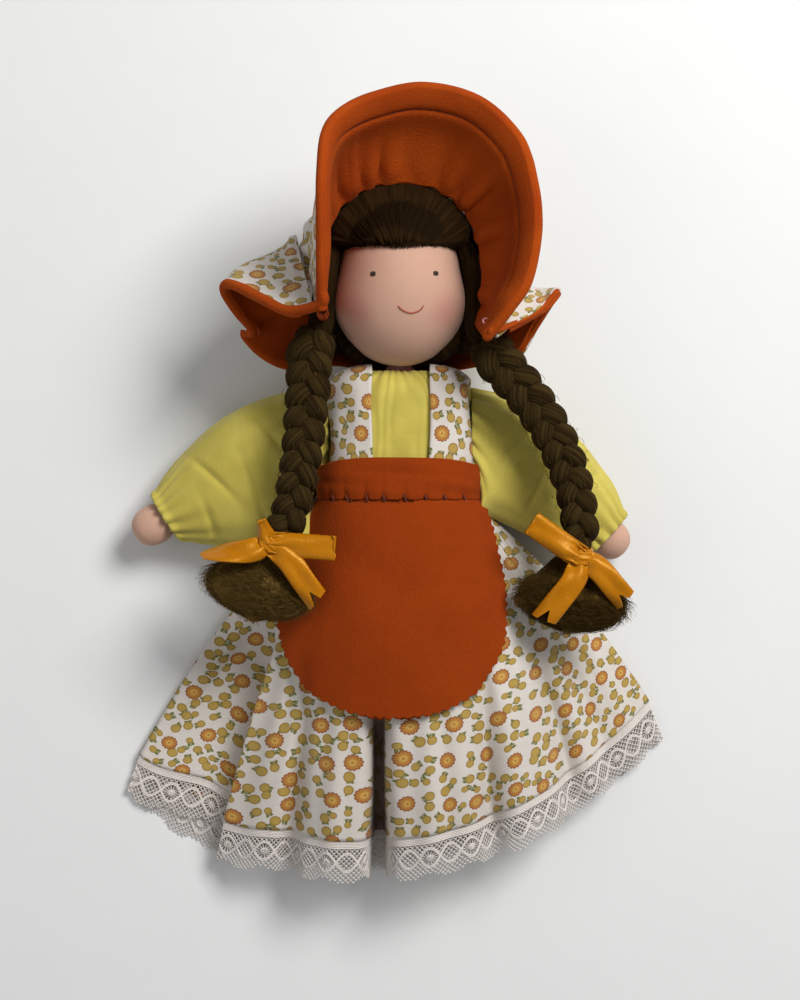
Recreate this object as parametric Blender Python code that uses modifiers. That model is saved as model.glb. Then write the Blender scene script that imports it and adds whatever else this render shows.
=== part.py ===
"""A stuffed cloth doll in a bonnet, gathered skirt and felt apron, lying on its back.

Lengths are in metres. +Y points to the top of the head, +Z away from the ground, and the
ground is at zero. Left and right are the doll's own, so its right side is at -X.
"""

import math

import bmesh
import bpy
import numpy as np
from mathutils import Matrix, Vector

# Air left between pieces that touch
GAP = 0.0003

# Moves the finished doll so that its box stands centred on the origin
DOLL_SHIFT = Vector((0.0019, -0.0008, 0.0))

# Cloth and felt
COTTON = 0.0008
SKIRT_CLOTH = 0.0010
FELT = 0.0014
LACE_CLOTH = 0.0006
RIBBON_CLOTH = 0.0005

# Head ball, with its neck stub
HEAD_WIDTH = 0.0390
HEAD_HEIGHT = 0.0490
HEAD_DEPTH = 0.0410
HEAD_PLACE = Vector((0.0, 0.0640, 0.0285))
NECK_RADIUS = 0.0058
NECK_TIED_RADIUS = 0.0034
NECK_TOP = 0.0450
NECK_HEIGHT = 0.0200
HAIR_THICKNESS = 0.0030
HAIRLINE_Y = 0.0745
NAPE_HAIR_DROP = 0.0190
THREAD_RADIUS = 0.00035

# Stuffed body
TORSO_TOP = 0.0372
TORSO_SHOULDER = 0.0290
TORSO_HIP = -0.0080
TORSO_BOTTOM = -0.0145
TORSO_WIDTH = 0.0400
TORSO_DEPTH = 0.0286
TORSO_HEIGHT = 0.0188
TORSO_NECK_WIDTH = 0.0130
TORSO_ROUNDNESS = 2.4
BODICE_BOTTOM = -0.0020

# Straps
STRAP_WIDTH = 0.0114
STRAP_INSET = 0.0144
STRAP_BOTTOM = 0.0102

# Waistband and apron
WAISTBAND_TOP = 0.0116
WAISTBAND_BOTTOM = 0.0006
APRON_CENTRE = -0.0022
APRON_TOP_WIDTH = 0.0404
APRON_WIDTH = 0.0640
APRON_LENGTH = 0.0636
APRON_AIR = 0.0009

# Skirt, measured from the waist along the spread cloth
WAIST_CENTRE = Vector((-0.0015, 0.0058, 0.0))
SKIRT_TOP = 0.0090
SKIRT_WAIST = -0.0006
SKIRT_LENGTH = 0.1070
SKIRT_LEFT_SPREAD = math.radians(49.0)
SKIRT_RIGHT_SPREAD = math.radians(43.0)
SKIRT_SIDE_BULGE = 0.0060
SKIRT_BELLY = 0.0068
HEM_RISE = 0.0270
HEM_SIDE_RISE = 0.0018
LACE_WIDTH = 0.0125
LACE_TURN_SHARE = 0.45
LACE_DROP = 0.0030
LACE_SCALLOP = 0.0016
HEM_REACH_SHARES = (1.08, 1.08, 1.03, 1.0, 0.975, 0.962, 0.96, 0.965)
# Height of the hem from the right side to the left, as shares of HEM_RISE
HEM_HEIGHT_SHARES = (0.05, 0.10, 0.16, 0.42, 0.70, 0.88, 0.97, 1.0, 0.98, 0.88, 0.70, 0.46, 0.24, 0.09)
# Folds: angle, half width (degrees) and depth of each valley; a ridge is negative
PLEAT_DEPTH = 0.0170
FOLD_START_SHARE = 0.54
FOLD_GROW_SHARE = 0.42
BACK_SETTLE_SHARE = 0.16
HEM_CORNER_SHARE = 0.06
FOLD_SHARES = (
    (-2.6, 2.2, 1.0),
    (-37.0, 2.6, 0.10),
    (-27.5, 2.6, 0.16),
    (-15.5, 2.6, 0.24),
    (-9.0, 2.2, -0.08),
    (6.5, 2.4, -0.10),
    (14.5, 2.8, 0.26),
    (21.5, 2.4, -0.08),
    (28.5, 2.8, 0.24),
    (38.0, 2.6, 0.14),
)

# Legs
LEG_RADIUS = 0.0068
LEG_LENGTH = 0.0660
LEG_SPACING = 0.0180
LEG_TOP = -0.0140
LEG_HIP_HEIGHT = 0.0130
LEG_FOOT_HEIGHT = 0.0092

# Arms and sleeves: places of the shoulders and hands
SHOULDER_Y = 0.0232
SHOULDER_HEIGHT = 0.0155
ARM_RADIUS = 0.0055
WRIST_RADIUS = 0.0042
HAND_RADIUS = 0.0060
HAND_RIGHT = Vector((-0.0756, -0.0079, 0.0105))
HAND_LEFT = Vector((0.0640, -0.0120, 0.0105))
ARMHOLE_RADIUS = 0.0068
SLEEVE_START = 0.0026
SLEEVE_HEAD = 0.0092
SLEEVE_CUFF = 0.0058
SLEEVE_PUFF_RIGHT = 0.0098
SLEEVE_PUFF_LEFT = 0.0072
SLEEVE_SAG_RIGHT = 0.0018
SLEEVE_SAG_LEFT = -0.0016
SLEEVE_HEIGHT = 0.0092
SLEEVE_CUFF_HEIGHT = 0.0052

# Plaits
PLAIT_LEVEL = 0.0362
PLAIT_WIDTH = 0.0140
PLAIT_END_WIDTH = 0.0108
PLAIT_DEPTH = 0.0112
PLAIT_LOBE = 0.0065
PLAIT_TIE_RADIUS = 0.0033
PLAIT_TIE_LENGTH = 0.0032
PLAIT_ROOT_RADIUS = 0.0042
PLAIT_EASE_SHARE = 0.07
PLAIT_SLANT_SHARE = 0.45
PLAIT_RIGHT_ROUTE = ((-0.0246, 0.0490), (-0.0262, 0.0430), (-0.0270, 0.0293), (-0.0293, 0.0088),
                     (-0.0328, -0.0060), (-0.0375, -0.0122))
PLAIT_LEFT_ROUTE = ((0.0241, 0.0459), (0.0293, 0.0396), (0.0381, 0.0293), (0.0454, 0.0176),
                    (0.0500, 0.0059), (0.0522, -0.0050), (0.0524, -0.0150))
TUFT_LENGTH = 0.0160
TUFT_DEPTH = 0.0100
TUFT_DROP = 0.0002
TUFT_RIGHT_WIDTH = 0.0290
TUFT_LEFT_WIDTH = 0.0300
TUFT_RIGHT_AIM = math.radians(-104.0)
TUFT_LEFT_AIM = math.radians(-100.0)

# Hair ribbons
RIBBON_WIDTH = 0.0068
RIBBON_LIFT = 0.0022
KNOT_RADIUS = 0.0036
RIBBON_REACH = 0.0200
# A loop is its aim in degrees and its reach; a tail is its aim, its reach and its droop
RIBBON_RIGHT_LOOP_SHARES = ((-4.0, 0.975),)
RIBBON_RIGHT_TAIL_SHARES = ((189.0, 0.925, 0.050), (-50.0, 1.150, 0.030))
RIBBON_LEFT_LOOP_SHARES = ((142.0, 0.950),)
RIBBON_LEFT_TAIL_SHARES = ((-38.0, 0.925, 0.050), (-122.0, 1.075, 0.040))

# Bonnet
BONNET_SPAN = 0.1000
RIM_HALF_WIDTH = 0.0246
RIM_TOP = 0.0276
RIM_BOTTOM = 0.0200
RIM_HEIGHT = 0.0375
NAPE_HEIGHT = 0.0070
SEAM_GAP = 0.0012
BRIM_LAYER_GAP = 0.0004
FRILL_LAYER_GAP = 0.0009
BRIM_BULGE = 0.0022
BRIM_GATHER = 0.0011
BRIM_GATHERS = 13
# Outer edge of the brim from its left lower corner over the top to the right one,
# as shares of BONNET_SPAN from the middle of the head
BRIM_EDGE_SHARES = (
    (0.243, -0.185, 0.335), (0.305, -0.114, 0.375), (0.359, -0.033, 0.395), (0.386, 0.119, 0.395),
    (0.373, 0.260, 0.365), (0.335, 0.378, 0.335), (0.224, 0.486, 0.315), (0.070, 0.525, 0.315),
    (-0.070, 0.495, 0.335), (-0.160, 0.445, 0.375), (-0.206, 0.378, 0.415), (-0.218, 0.260, 0.455),
    (-0.219, 0.137, 0.465), (-0.219, 0.000, 0.425), (-0.216, -0.112, 0.375),
)
# Hem of the neck frill from the right side behind the neck to the left, in the same shares
FRILL_HEM_SHARES = (
    (-0.268, -0.095, 0.290), (-0.370, -0.090, 0.195), (-0.512, -0.020, 0.105), (-0.430, -0.150, 0.020),
    (-0.335, -0.240, -0.015), (-0.180, -0.220, -0.160), (0.000, -0.238, -0.245), (0.180, -0.221, -0.160),
    (0.345, -0.215, -0.015), (0.425, -0.130, 0.020), (0.455, -0.035, 0.110), (0.400, -0.090, 0.150),
    (0.350, -0.125, 0.185),
)
# How far up the crown's side the frill is sewn, from its right side to its left
FRILL_SEAM_SHARES = (0.76, 0.80, 0.87, 0.94, 0.98, 0.99, 0.99, 0.99, 0.98, 0.94, 0.87, 0.80, 0.76)
FRILL_START = math.radians(164.0)
FRILL_END = math.radians(370.0)

# Joint that tilts the head, at the foot of the neck
HEAD_PIVOT = Vector((0.0, TORSO_TOP + GAP, NECK_HEIGHT))

BOTH_SIDES = (("right", -1.0), ("left", 1.0))
HEAD_NAMES = ("head", "neck_tie", "hair_cap", "bonnet_crown", "bonnet_brim", "bonnet_brim_lining",
              "bonnet_frill", "bonnet_frill_lining")
PLAIT_NAMES = ("plait_%s", "%s_plait_tuft", "hair_ribbon_%s")
COLUMNS_ROUND = 28
PROBE_STEP = 1e-3

model = None
guides = None


def clear_scene():
    for item in list(bpy.data.objects):
        bpy.data.objects.remove(item, do_unlink=True)


def new_collection(name):
    collection = bpy.data.collections.new(name)
    bpy.context.scene.collection.children.link(collection)
    return collection


def finish_material(name, colour, roughness):
    """One plain finish: a Principled surface with this colour and roughness."""
    material = bpy.data.materials.get(name)
    if material is None:
        material = bpy.data.materials.new(name)
        material.use_nodes = True
        shader = material.node_tree.nodes["Principled BSDF"]
        shader.inputs["Base Color"].default_value = (*colour, 1.0)
        shader.inputs["Roughness"].default_value = roughness
        shader.inputs["Metallic"].default_value = 0.0
    return material


def skin():
    return finish_material("cotton_knit_skin", (0.68, 0.40, 0.31), 0.80)


def hair():
    return finish_material("brown_wool_yarn", (0.045, 0.026, 0.008), 0.95)


def yellow_cotton():
    return finish_material("lemon_cotton", (0.62, 0.53, 0.09), 0.75)


def print_cotton():
    return finish_material("flowered_cotton", (0.72, 0.58, 0.36), 0.80)


def orange_felt():
    return finish_material("orange_felt", (0.46, 0.065, 0.008), 0.95)


def white_lace():
    return finish_material("cotton_lace", (0.80, 0.77, 0.70), 0.85)


def satin():
    return finish_material("gold_satin", (0.61, 0.20, 0.01), 0.35)


def thread():
    return finish_material("linen_thread", (0.60, 0.42, 0.34), 0.80)


def add_piece(name, mesh, material, collection=None, smooth=True):
    piece = bpy.data.objects.new(name, mesh)
    (collection or model).objects.link(piece)
    mesh.materials.append(material)
    if smooth:
        mesh.shade_smooth()
        mesh.set_sharp_from_angle(angle=math.radians(50.0))
    return piece


def smooth_step(share):
    share = np.clip(share, 0.0, 1.0)
    return share * share * (3.0 - 2.0 * share)


def signed_power(value, power):
    return np.sign(value) * np.abs(value) ** power


def through(points, shares):
    """A smooth curve through the points, read at shares of its length from 0 to 1."""
    points = np.asarray(points, dtype=float)
    count = len(points)
    padded = np.vstack((2.0 * points[0] - points[1], points, 2.0 * points[-1] - points[-2]))
    place = np.clip(np.asarray(shares, dtype=float), 0.0, 1.0) * (count - 1)
    start = np.minimum(place.astype(int), count - 2)
    step = (place - start)[..., None]
    before, first, second, after = (padded[start + k] for k in range(4))
    return 0.5 * (2.0 * first + (second - before) * step
                  + (2.0 * before - 5.0 * first + 4.0 * second - after) * step ** 2
                  + (3.0 * first - before - 3.0 * second + after) * step ** 3)


def grid_normals(grid, wrap):
    """Unit normals of a grid of points whose columns run across and rows run down."""
    if wrap:
        across = np.roll(grid, -1, axis=1) - np.roll(grid, 1, axis=1)
    else:
        across = np.gradient(grid, axis=1)
    down = np.gradient(grid, axis=0)
    normal = np.cross(across, down)
    length = np.linalg.norm(normal, axis=2, keepdims=True)
    return normal / np.maximum(length, np.finfo(float).tiny)


def grid_faces(rows, columns, wrap):
    last = columns if wrap else columns - 1
    faces = []
    for row in range(rows - 1):
        for column in range(last):
            beside = (column + 1) % columns
            faces.append((row * columns + column, row * columns + beside,
                          (row + 1) * columns + beside, (row + 1) * columns + column))
    return faces


def cloth_piece(name, grid, thickness, material, wrap=False, shift=0.0, pole=False):
    """A sheet of cloth: a grid of points moved along its normals, then given its thickness."""
    rows, columns = grid.shape[:2]
    if shift:
        grid = grid + grid_normals(grid, wrap) * shift
    mesh = bpy.data.meshes.new(name)
    mesh.from_pydata([tuple(point) for point in grid.reshape(-1, 3)], [], grid_faces(rows, columns, wrap))
    if pole:
        close_pole(mesh, columns)
    mesh.update()
    piece = add_piece(name, mesh, material)
    shell = piece.modifiers.new("thickness", "SOLIDIFY")
    shell.thickness = thickness
    shell.offset = 0.0
    return piece


def close_pole(mesh, columns):
    """Draws the first row of a wrapped grid into one point."""
    sheet = bmesh.new()
    sheet.from_mesh(mesh)
    sheet.verts.ensure_lookup_table()
    bmesh.ops.pointmerge(sheet, verts=sheet.verts[:columns], merge_co=sheet.verts[0].co)
    sheet.to_mesh(mesh)
    sheet.free()


def stuffed_piece(name, rings, material, collection=None):
    """A stuffed form: a stack of rings, closed at both ends."""
    rows, columns = rings.shape[:2]
    form = bmesh.new()
    points = [form.verts.new(tuple(point)) for point in rings.reshape(-1, 3)]
    for face in grid_faces(rows, columns, True):
        form.faces.new([points[corner] for corner in face])
    form.faces.new(points[:columns])
    form.faces.new(points[-columns:])
    bmesh.ops.recalc_face_normals(form, faces=form.faces)
    mesh = bpy.data.meshes.new(name)
    form.to_mesh(mesh)
    form.free()
    return add_piece(name, mesh, material, collection)


def turned_piece(name, profile, steps, material, place, aim):
    """A turned form whose profile (radius, height) runs from its top down; aim is its +Z."""
    mesh = bpy.data.meshes.new(name)
    edges = [(k, k + 1) for k in range(len(profile) - 1)]
    mesh.from_pydata([(radius, 0.0, height) for radius, height in profile], edges, [])
    piece = add_piece(name, mesh, material, smooth=False)
    turn = piece.modifiers.new("turn", "SCREW")
    turn.axis = "Z"
    turn.angle = math.tau
    turn.steps = steps
    turn.render_steps = steps
    turn.use_merge_vertices = True
    turn.merge_threshold = GAP * 0.1
    turn.use_smooth_shade = True
    piece.location = place
    piece.rotation_euler = Vector(aim).to_track_quat("Z", "Y").to_euler()
    return piece


def move_to(piece, collection):
    for holder in list(piece.users_collection):
        holder.objects.unlink(piece)
    collection.objects.link(piece)


def as_guide(piece):
    """Moves a piece to the cutters, where it only shapes others."""
    move_to(piece, guides)
    piece.hide_render = True
    piece.display_type = "WIRE"
    return piece


def ring_piece(name, major, minor, steps, place, aim, material):
    """A thin closed ring round the axis aim."""
    bpy.ops.mesh.primitive_torus_add(major_radius=major, minor_radius=minor, major_segments=steps,
                                     minor_segments=6, location=place)
    ring = bpy.context.object
    ring.name = name
    ring.rotation_euler = Vector(aim).to_track_quat("Z", "Y").to_euler()
    ring.data.materials.append(material)
    move_to(ring, model)
    return ring


def pivot_at(name, place):
    pivot = bpy.data.objects.new(name, None)
    pivot.location = place
    pivot.empty_display_size = HEAD_WIDTH / 2
    model.objects.link(pivot)
    return pivot


def hang_on(pivot, pieces):
    """Hangs pieces on the empty at their joint without moving them."""
    for piece in pieces:
        piece.parent = pivot
        piece.matrix_parent_inverse = Matrix.Translation(-pivot.location)


def combine(piece, other, operation):
    joint = piece.modifiers.new(operation.lower(), "BOOLEAN")
    joint.operation = operation
    joint.solver = "EXACT"
    joint.object = other


# Body form shared by the torso and the clothes on it
def body_girth(y, outside):
    """Half width and half depth of the body at height y, grown outwards for a layer of clothes."""
    top = TORSO_TOP + outside
    neck = TORSO_NECK_WIDTH / 2 + outside
    half_width = TORSO_WIDTH / 2 + outside
    half_depth = TORSO_DEPTH / 2 + outside
    rise = np.clip((y - TORSO_SHOULDER) / (top - TORSO_SHOULDER), 0.0, 1.0)
    shoulder = (1.0 - rise ** 2.5) ** 0.4
    sink = np.clip((TORSO_HIP - y) / (TORSO_HIP - TORSO_BOTTOM), 0.0, 1.0)
    seat = (1.0 - sink ** 2.2) ** 0.4545
    width = (neck + (half_width - neck) * shoulder) * seat
    depth = (neck + (half_depth - neck) * shoulder) * seat
    return width, depth


def body_ring(angle, y, outside):
    width, depth = body_girth(y, outside)
    power = 2.0 / TORSO_ROUNDNESS
    x = width * signed_power(np.cos(angle), power)
    z = TORSO_HEIGHT + depth * signed_power(np.sin(angle), power)
    return np.stack((x, y + np.zeros_like(x), z), axis=-1)


def body_grid(heights, outside):
    angles = np.linspace(0.0, math.tau, COLUMNS_ROUND, endpoint=False)
    rows, columns = np.meshgrid(heights, angles, indexing="ij")
    return body_ring(columns, rows, outside)


def shoulder_heights(bottom, top, count):
    """Heights that crowd towards the top, where the shoulder turns over."""
    share = np.linspace(0.0, 1.0, count)
    return bottom + (top - bottom) * np.sin(share * math.pi / 2)


def make_torso():
    lower = TORSO_HIP + (TORSO_BOTTOM - TORSO_HIP) * np.array((0.97, 0.85, 0.6, 0.3))
    upper = shoulder_heights(TORSO_HIP, TORSO_TOP, 8)
    stuffed_piece("torso", body_grid(np.concatenate((lower, upper)), 0.0), skin())


def make_bodice():
    outside = GAP + COTTON / 2
    heights = shoulder_heights(BODICE_BOTTOM, TORSO_TOP + outside, 8)
    bodice = cloth_piece("blouse_bodice", body_grid(heights, outside), COTTON, yellow_cotton(), wrap=True)
    bpy.ops.mesh.primitive_cylinder_add(vertices=16, radius=ARMHOLE_RADIUS, depth=TORSO_WIDTH * 2,
                                        location=(0.0, SHOULDER_Y, SHOULDER_HEIGHT),
                                        rotation=(0.0, math.pi / 2, 0.0))
    hole = as_guide(bpy.context.object)
    hole.name = "armhole_cutter"
    combine(bodice, hole, "DIFFERENCE")


def make_strap(side_name, side):
    """A strap runs up the front, over the shoulder and down the back, on the blouse."""
    outside = GAP + COTTON + GAP * 2 + COTTON / 2
    neck = TORSO_NECK_WIDTH / 2 + outside
    half_width = TORSO_WIDTH / 2 + outside
    half_depth = TORSO_DEPTH / 2 + outside
    top = TORSO_TOP + outside
    across = np.linspace(-STRAP_WIDTH / 2, STRAP_WIDTH / 2, 4) + STRAP_INSET
    along = np.linspace(0.0, 1.0, 19)
    share, x = np.meshgrid(along, across, indexing="ij")
    reach = np.clip((x - neck) / (half_width - neck), 0.0, 1.0)
    ridge = TORSO_SHOULDER + (top - TORSO_SHOULDER) * (1.0 - reach ** 2.5) ** 0.4
    y = STRAP_BOTTOM + (ridge - STRAP_BOTTOM) * np.sin(share * math.pi)
    width, depth = body_girth(y, outside)
    hold = np.clip(1.0 - (x / np.maximum(width, x)) ** TORSO_ROUNDNESS, 0.0, 1.0)
    lift = depth * hold ** (1.0 / TORSO_ROUNDNESS)
    z = TORSO_HEIGHT + np.where(share < 0.5, lift, -lift)
    z = np.minimum(z, TORSO_HEIGHT + half_depth)
    cloth_piece("strap_" + side_name, np.stack((x * side, y, z), axis=-1), COTTON, print_cotton())


def make_waistband():
    outside = GAP + COTTON + GAP + SKIRT_CLOTH + GAP * 2 + FELT / 2
    heights = np.linspace(WAISTBAND_BOTTOM, WAISTBAND_TOP, 3)
    cloth_piece("apron_waistband", body_grid(heights, outside), FELT, orange_felt(), wrap=True)


# Skirt
def fold_depth(angle):
    """Depth of the folds at the hem, as the sum of one smooth valley for each fold."""
    total = np.zeros_like(angle)
    for degrees, half_width, share in FOLD_SHARES:
        distance = (np.degrees(angle) - degrees) / half_width
        total = total + share * np.exp(-distance ** 2)
    return total * PLEAT_DEPTH


def crowded_angles(count):
    """Angles across the spread skirt, closer together where the folds are."""
    fine = np.linspace(-SKIRT_RIGHT_SPREAD, SKIRT_LEFT_SPREAD, 600)
    weight = np.ones_like(fine)
    for degrees, half_width, share in FOLD_SHARES:
        distance = (np.degrees(fine) - degrees) / (half_width * 1.6)
        weight = weight + (0.6 + 2.4 * max(share, 0.0)) * np.exp(-distance ** 2)
    total = np.concatenate(((0.0,), np.cumsum((weight[1:] + weight[:-1]) / 2)))
    return np.interp(np.linspace(0.0, total[-1], count), total, fine)


def skirt_point(angle, share, front):
    """The skirt's middle surface: angle across the fan, share from waist to hem."""
    spread = SKIRT_LEFT_SPREAD + SKIRT_RIGHT_SPREAD
    across = (angle + SKIRT_RIGHT_SPREAD) / spread
    outside = GAP + COTTON + GAP + SKIRT_CLOTH / 2
    turn = math.pi * (1.0 - across)
    waist = body_ring(turn * (1.0 if front else -1.0), SKIRT_WAIST + np.zeros_like(angle), outside)
    reach = SKIRT_LENGTH * np.interp(across, np.linspace(0.0, 1.0, len(HEM_REACH_SHARES)), HEM_REACH_SHARES)
    hem_x = WAIST_CENTRE.x + reach * np.sin(angle)
    hem_y = WAIST_CENTRE.y - reach * np.cos(angle)
    bulge = SKIRT_SIDE_BULGE * np.sin(math.pi * np.clip(share, 0.0, 1.0)) * signed_power(np.sin(angle), 1.0)
    x = waist[..., 0] + (hem_x - waist[..., 0]) * share + bulge
    y = waist[..., 1] + (hem_y - waist[..., 1]) * share
    side = np.abs(2.0 * across - 1.0)
    if front:
        heights = np.interp(across, np.linspace(0.0, 1.0, len(HEM_HEIGHT_SHARES)), HEM_HEIGHT_SHARES)
        hem_z = HEM_SIDE_RISE + HEM_RISE * heights
        ease = 1.0 - (1.0 - np.clip(share, 0.0, 1.0)) ** (1.0 + 1.6 * side ** 2)
        belly = SKIRT_BELLY * np.sin(math.pi * np.clip(share, 0.0, 1.0)) * (1.0 - side ** 2)
        z = waist[..., 2] + (hem_z - waist[..., 2]) * ease + belly
        depth = fold_depth(angle) * smooth_step((share - FOLD_START_SHARE) / FOLD_GROW_SHARE)
        floor = SKIRT_CLOTH / 2 + HEM_SIDE_RISE
        z = np.maximum(z - depth, floor)
    else:
        settle = smooth_step(share / BACK_SETTLE_SHARE)
        z = waist[..., 2] + (SKIRT_CLOTH / 2 - waist[..., 2]) * settle
        corner = (side - 1.0 + HEM_CORNER_SHARE) / HEM_CORNER_SHARE
        edge = HEM_SIDE_RISE * np.clip(corner, 0.0, 1.0)
        z = z + edge * settle
    return np.stack((x, y, z), axis=-1)


def skirt_loop(shares, front_count, back_count):
    """Rows of the whole skirt, closed round the front and the back."""
    angles = crowded_angles(front_count)
    spread = np.linspace(SKIRT_LEFT_SPREAD, -SKIRT_RIGHT_SPREAD, back_count + 2)[1:-1]
    down, over = np.meshgrid(shares, angles, indexing="ij")
    down_back, under = np.meshgrid(shares, spread, indexing="ij")
    return np.concatenate((skirt_point(over, down, True), skirt_point(under, down_back, False)), axis=1)


def make_skirt():
    shares = np.linspace(0.0, 1.0, 12) ** 1.2
    loop = skirt_loop(shares, 34, 10)
    collar = loop[:1].copy()
    rise = np.array((SKIRT_TOP - SKIRT_WAIST, 0.0))
    top = np.repeat(collar, len(rise), axis=0)
    top[..., 1] += rise[:, None]
    cloth_piece("skirt", np.concatenate((top, loop[1:]), axis=0), SKIRT_CLOTH, print_cotton(), wrap=True)


def make_lace():
    """The lace goes on from the hem, down towards the ground, with a scalloped edge."""
    front_count, back_count = 72, 24
    count = front_count + back_count
    hem = skirt_loop(np.array((1.0,)), front_count, back_count)[0]
    angle = np.arctan2(hem[:, 0] - WAIST_CENTRE.x, WAIST_CENTRE.y - hem[:, 1]) * LACE_TURN_SHARE
    outward = np.stack((np.sin(angle), -np.cos(angle), np.zeros(count)), axis=-1)
    scallop = np.where(np.arange(count) % 2 == 0, 1.0, 0.0) * LACE_SCALLOP
    is_back = np.arange(count) >= front_count
    flat = is_back & (hem[:, 2] <= SKIRT_CLOTH * 0.6)
    rows = []
    for share in (0.0, 1.0):
        reach = GAP * 3 + (LACE_WIDTH + scallop) * share
        row = hem + outward * reach[:, None]
        lowest = LACE_CLOTH / 2 + np.where(is_back, 0.0, HEM_SIDE_RISE)
        row[:, 2] = np.maximum(hem[:, 2] - LACE_DROP * share * ~is_back, lowest)
        row[flat, 2] = LACE_CLOTH / 2
        rows.append(row)
    cloth_piece("hem_lace", np.stack(rows), LACE_CLOTH, white_lace(), wrap=True)


def skirt_front_at(x, y):
    """Angle and share of the point of the skirt's front that lies over x, y."""
    angle = np.zeros_like(x)
    share = np.clip((SKIRT_WAIST - y) / SKIRT_LENGTH, 0.0, 1.0)
    spread = SKIRT_LEFT_SPREAD + SKIRT_RIGHT_SPREAD
    for _ in range(60):
        here = skirt_point(angle, share, True)
        half = (skirt_point(np.full_like(x, SKIRT_LEFT_SPREAD), share, True)[..., 0]
                - skirt_point(np.full_like(x, -SKIRT_RIGHT_SPREAD), share, True)[..., 0])
        turn = 0.6 * (x - here[..., 0]) / half * spread
        angle = np.clip(angle + turn, -SKIRT_RIGHT_SPREAD, SKIRT_LEFT_SPREAD)
        share = np.clip(share + 0.8 * (here[..., 1] - y) / SKIRT_LENGTH, 0.0, 1.0)
    return angle, share


def skirt_normal(angle, share):
    across = skirt_point(angle + PROBE_STEP, share, True) - skirt_point(angle - PROBE_STEP, share, True)
    down = skirt_point(angle, share + PROBE_STEP, True) - skirt_point(angle, share - PROBE_STEP, True)
    normal = np.cross(down, across)
    return normal / np.linalg.norm(normal, axis=-1, keepdims=True)


def make_apron_panel():
    """The apron lies on the skirt's front: a straight top, full sides and a round foot."""
    down = 1.0 - np.cos(np.linspace(0.16, 1.0, 12) * math.pi / 2)
    down = (down - down[0]) / (1.0 - down[0])
    down = 1.0 - down[::-1]
    across = np.linspace(-1.0, 1.0, 13)
    share, side = np.meshgrid(down * 0.985, across, indexing="ij")
    widest = 0.5
    low = (APRON_WIDTH / 2) * (1.0 - np.clip((share - widest) / widest, 0.0, 1.0) ** 2.6) ** 0.4545
    flare = np.sin(np.clip(share / widest, 0.0, 1.0) * math.pi / 2)
    high = APRON_TOP_WIDTH / 2 + (APRON_WIDTH - APRON_TOP_WIDTH) / 2 * flare
    half = np.where(share < widest, high, low)
    x = APRON_CENTRE * np.minimum(share * 4.0, 1.0) + half * side
    y = WAISTBAND_BOTTOM - GAP - GAP - APRON_LENGTH * share
    y = y + APRON_TOP_WIDTH * 0.02 * (1.0 - np.cos(side * math.pi / 2)) * (1.0 - share)
    y = np.minimum(y, WAISTBAND_BOTTOM - GAP - GAP)
    angle, place = skirt_front_at(x, y)
    place = np.maximum(place, PROBE_STEP * 3)
    lift = SKIRT_CLOTH / 2 + APRON_AIR + FELT / 2
    grid = skirt_point(angle, place, True) + skirt_normal(angle, place) * lift
    grid[..., 1] = np.minimum(grid[..., 1], WAISTBAND_BOTTOM - GAP - GAP)
    cloth_piece("apron_panel", grid, FELT, orange_felt())


# Limbs
def limb_profile(stations, root_radius):
    """Radii down a limb from its far end to its round root."""
    heights = [height for height, _ in stations]
    radii = [radius for _, radius in stations]
    points = [(0.0, heights[0])]
    points += list(zip(radii, heights))
    for step in range(1, 5):
        turn = step / 5 * math.pi / 2
        points.append((root_radius * math.cos(turn), -root_radius * math.sin(turn)))
    points.append((0.0, -root_radius))
    return points


def make_arm(side_name, side, hand):
    """An arm of knit cloth, drawn in at the wrist, with a round hand."""
    root = shoulder_place(side)
    aim = hand - root
    reach = aim.length
    stations = []
    for step in range(7):
        turn = (0.10 + 0.72 * step / 6) * math.pi
        stations.append((reach + HAND_RADIUS * math.cos(turn), HAND_RADIUS * math.sin(turn)))
    wrist = reach - HAND_RADIUS * 1.25
    stations.append((wrist, WRIST_RADIUS))
    stations.append((wrist - HAND_RADIUS, WRIST_RADIUS * 1.08))
    stations.append((reach * 0.45, ARM_RADIUS))
    stations.append((0.0, ARM_RADIUS * 1.02))
    profile = limb_profile(stations, ARM_RADIUS * 1.02)
    turned_piece("arm_" + side_name, profile, 12, skin(), root, aim)


def shoulder_place(side):
    """Middle of the arm's round root, just clear of the torso's side."""
    inset = TORSO_WIDTH / 2 + GAP + ARM_RADIUS * 1.02 + GAP
    return Vector((side * inset, SHOULDER_Y, SHOULDER_HEIGHT))


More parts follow.
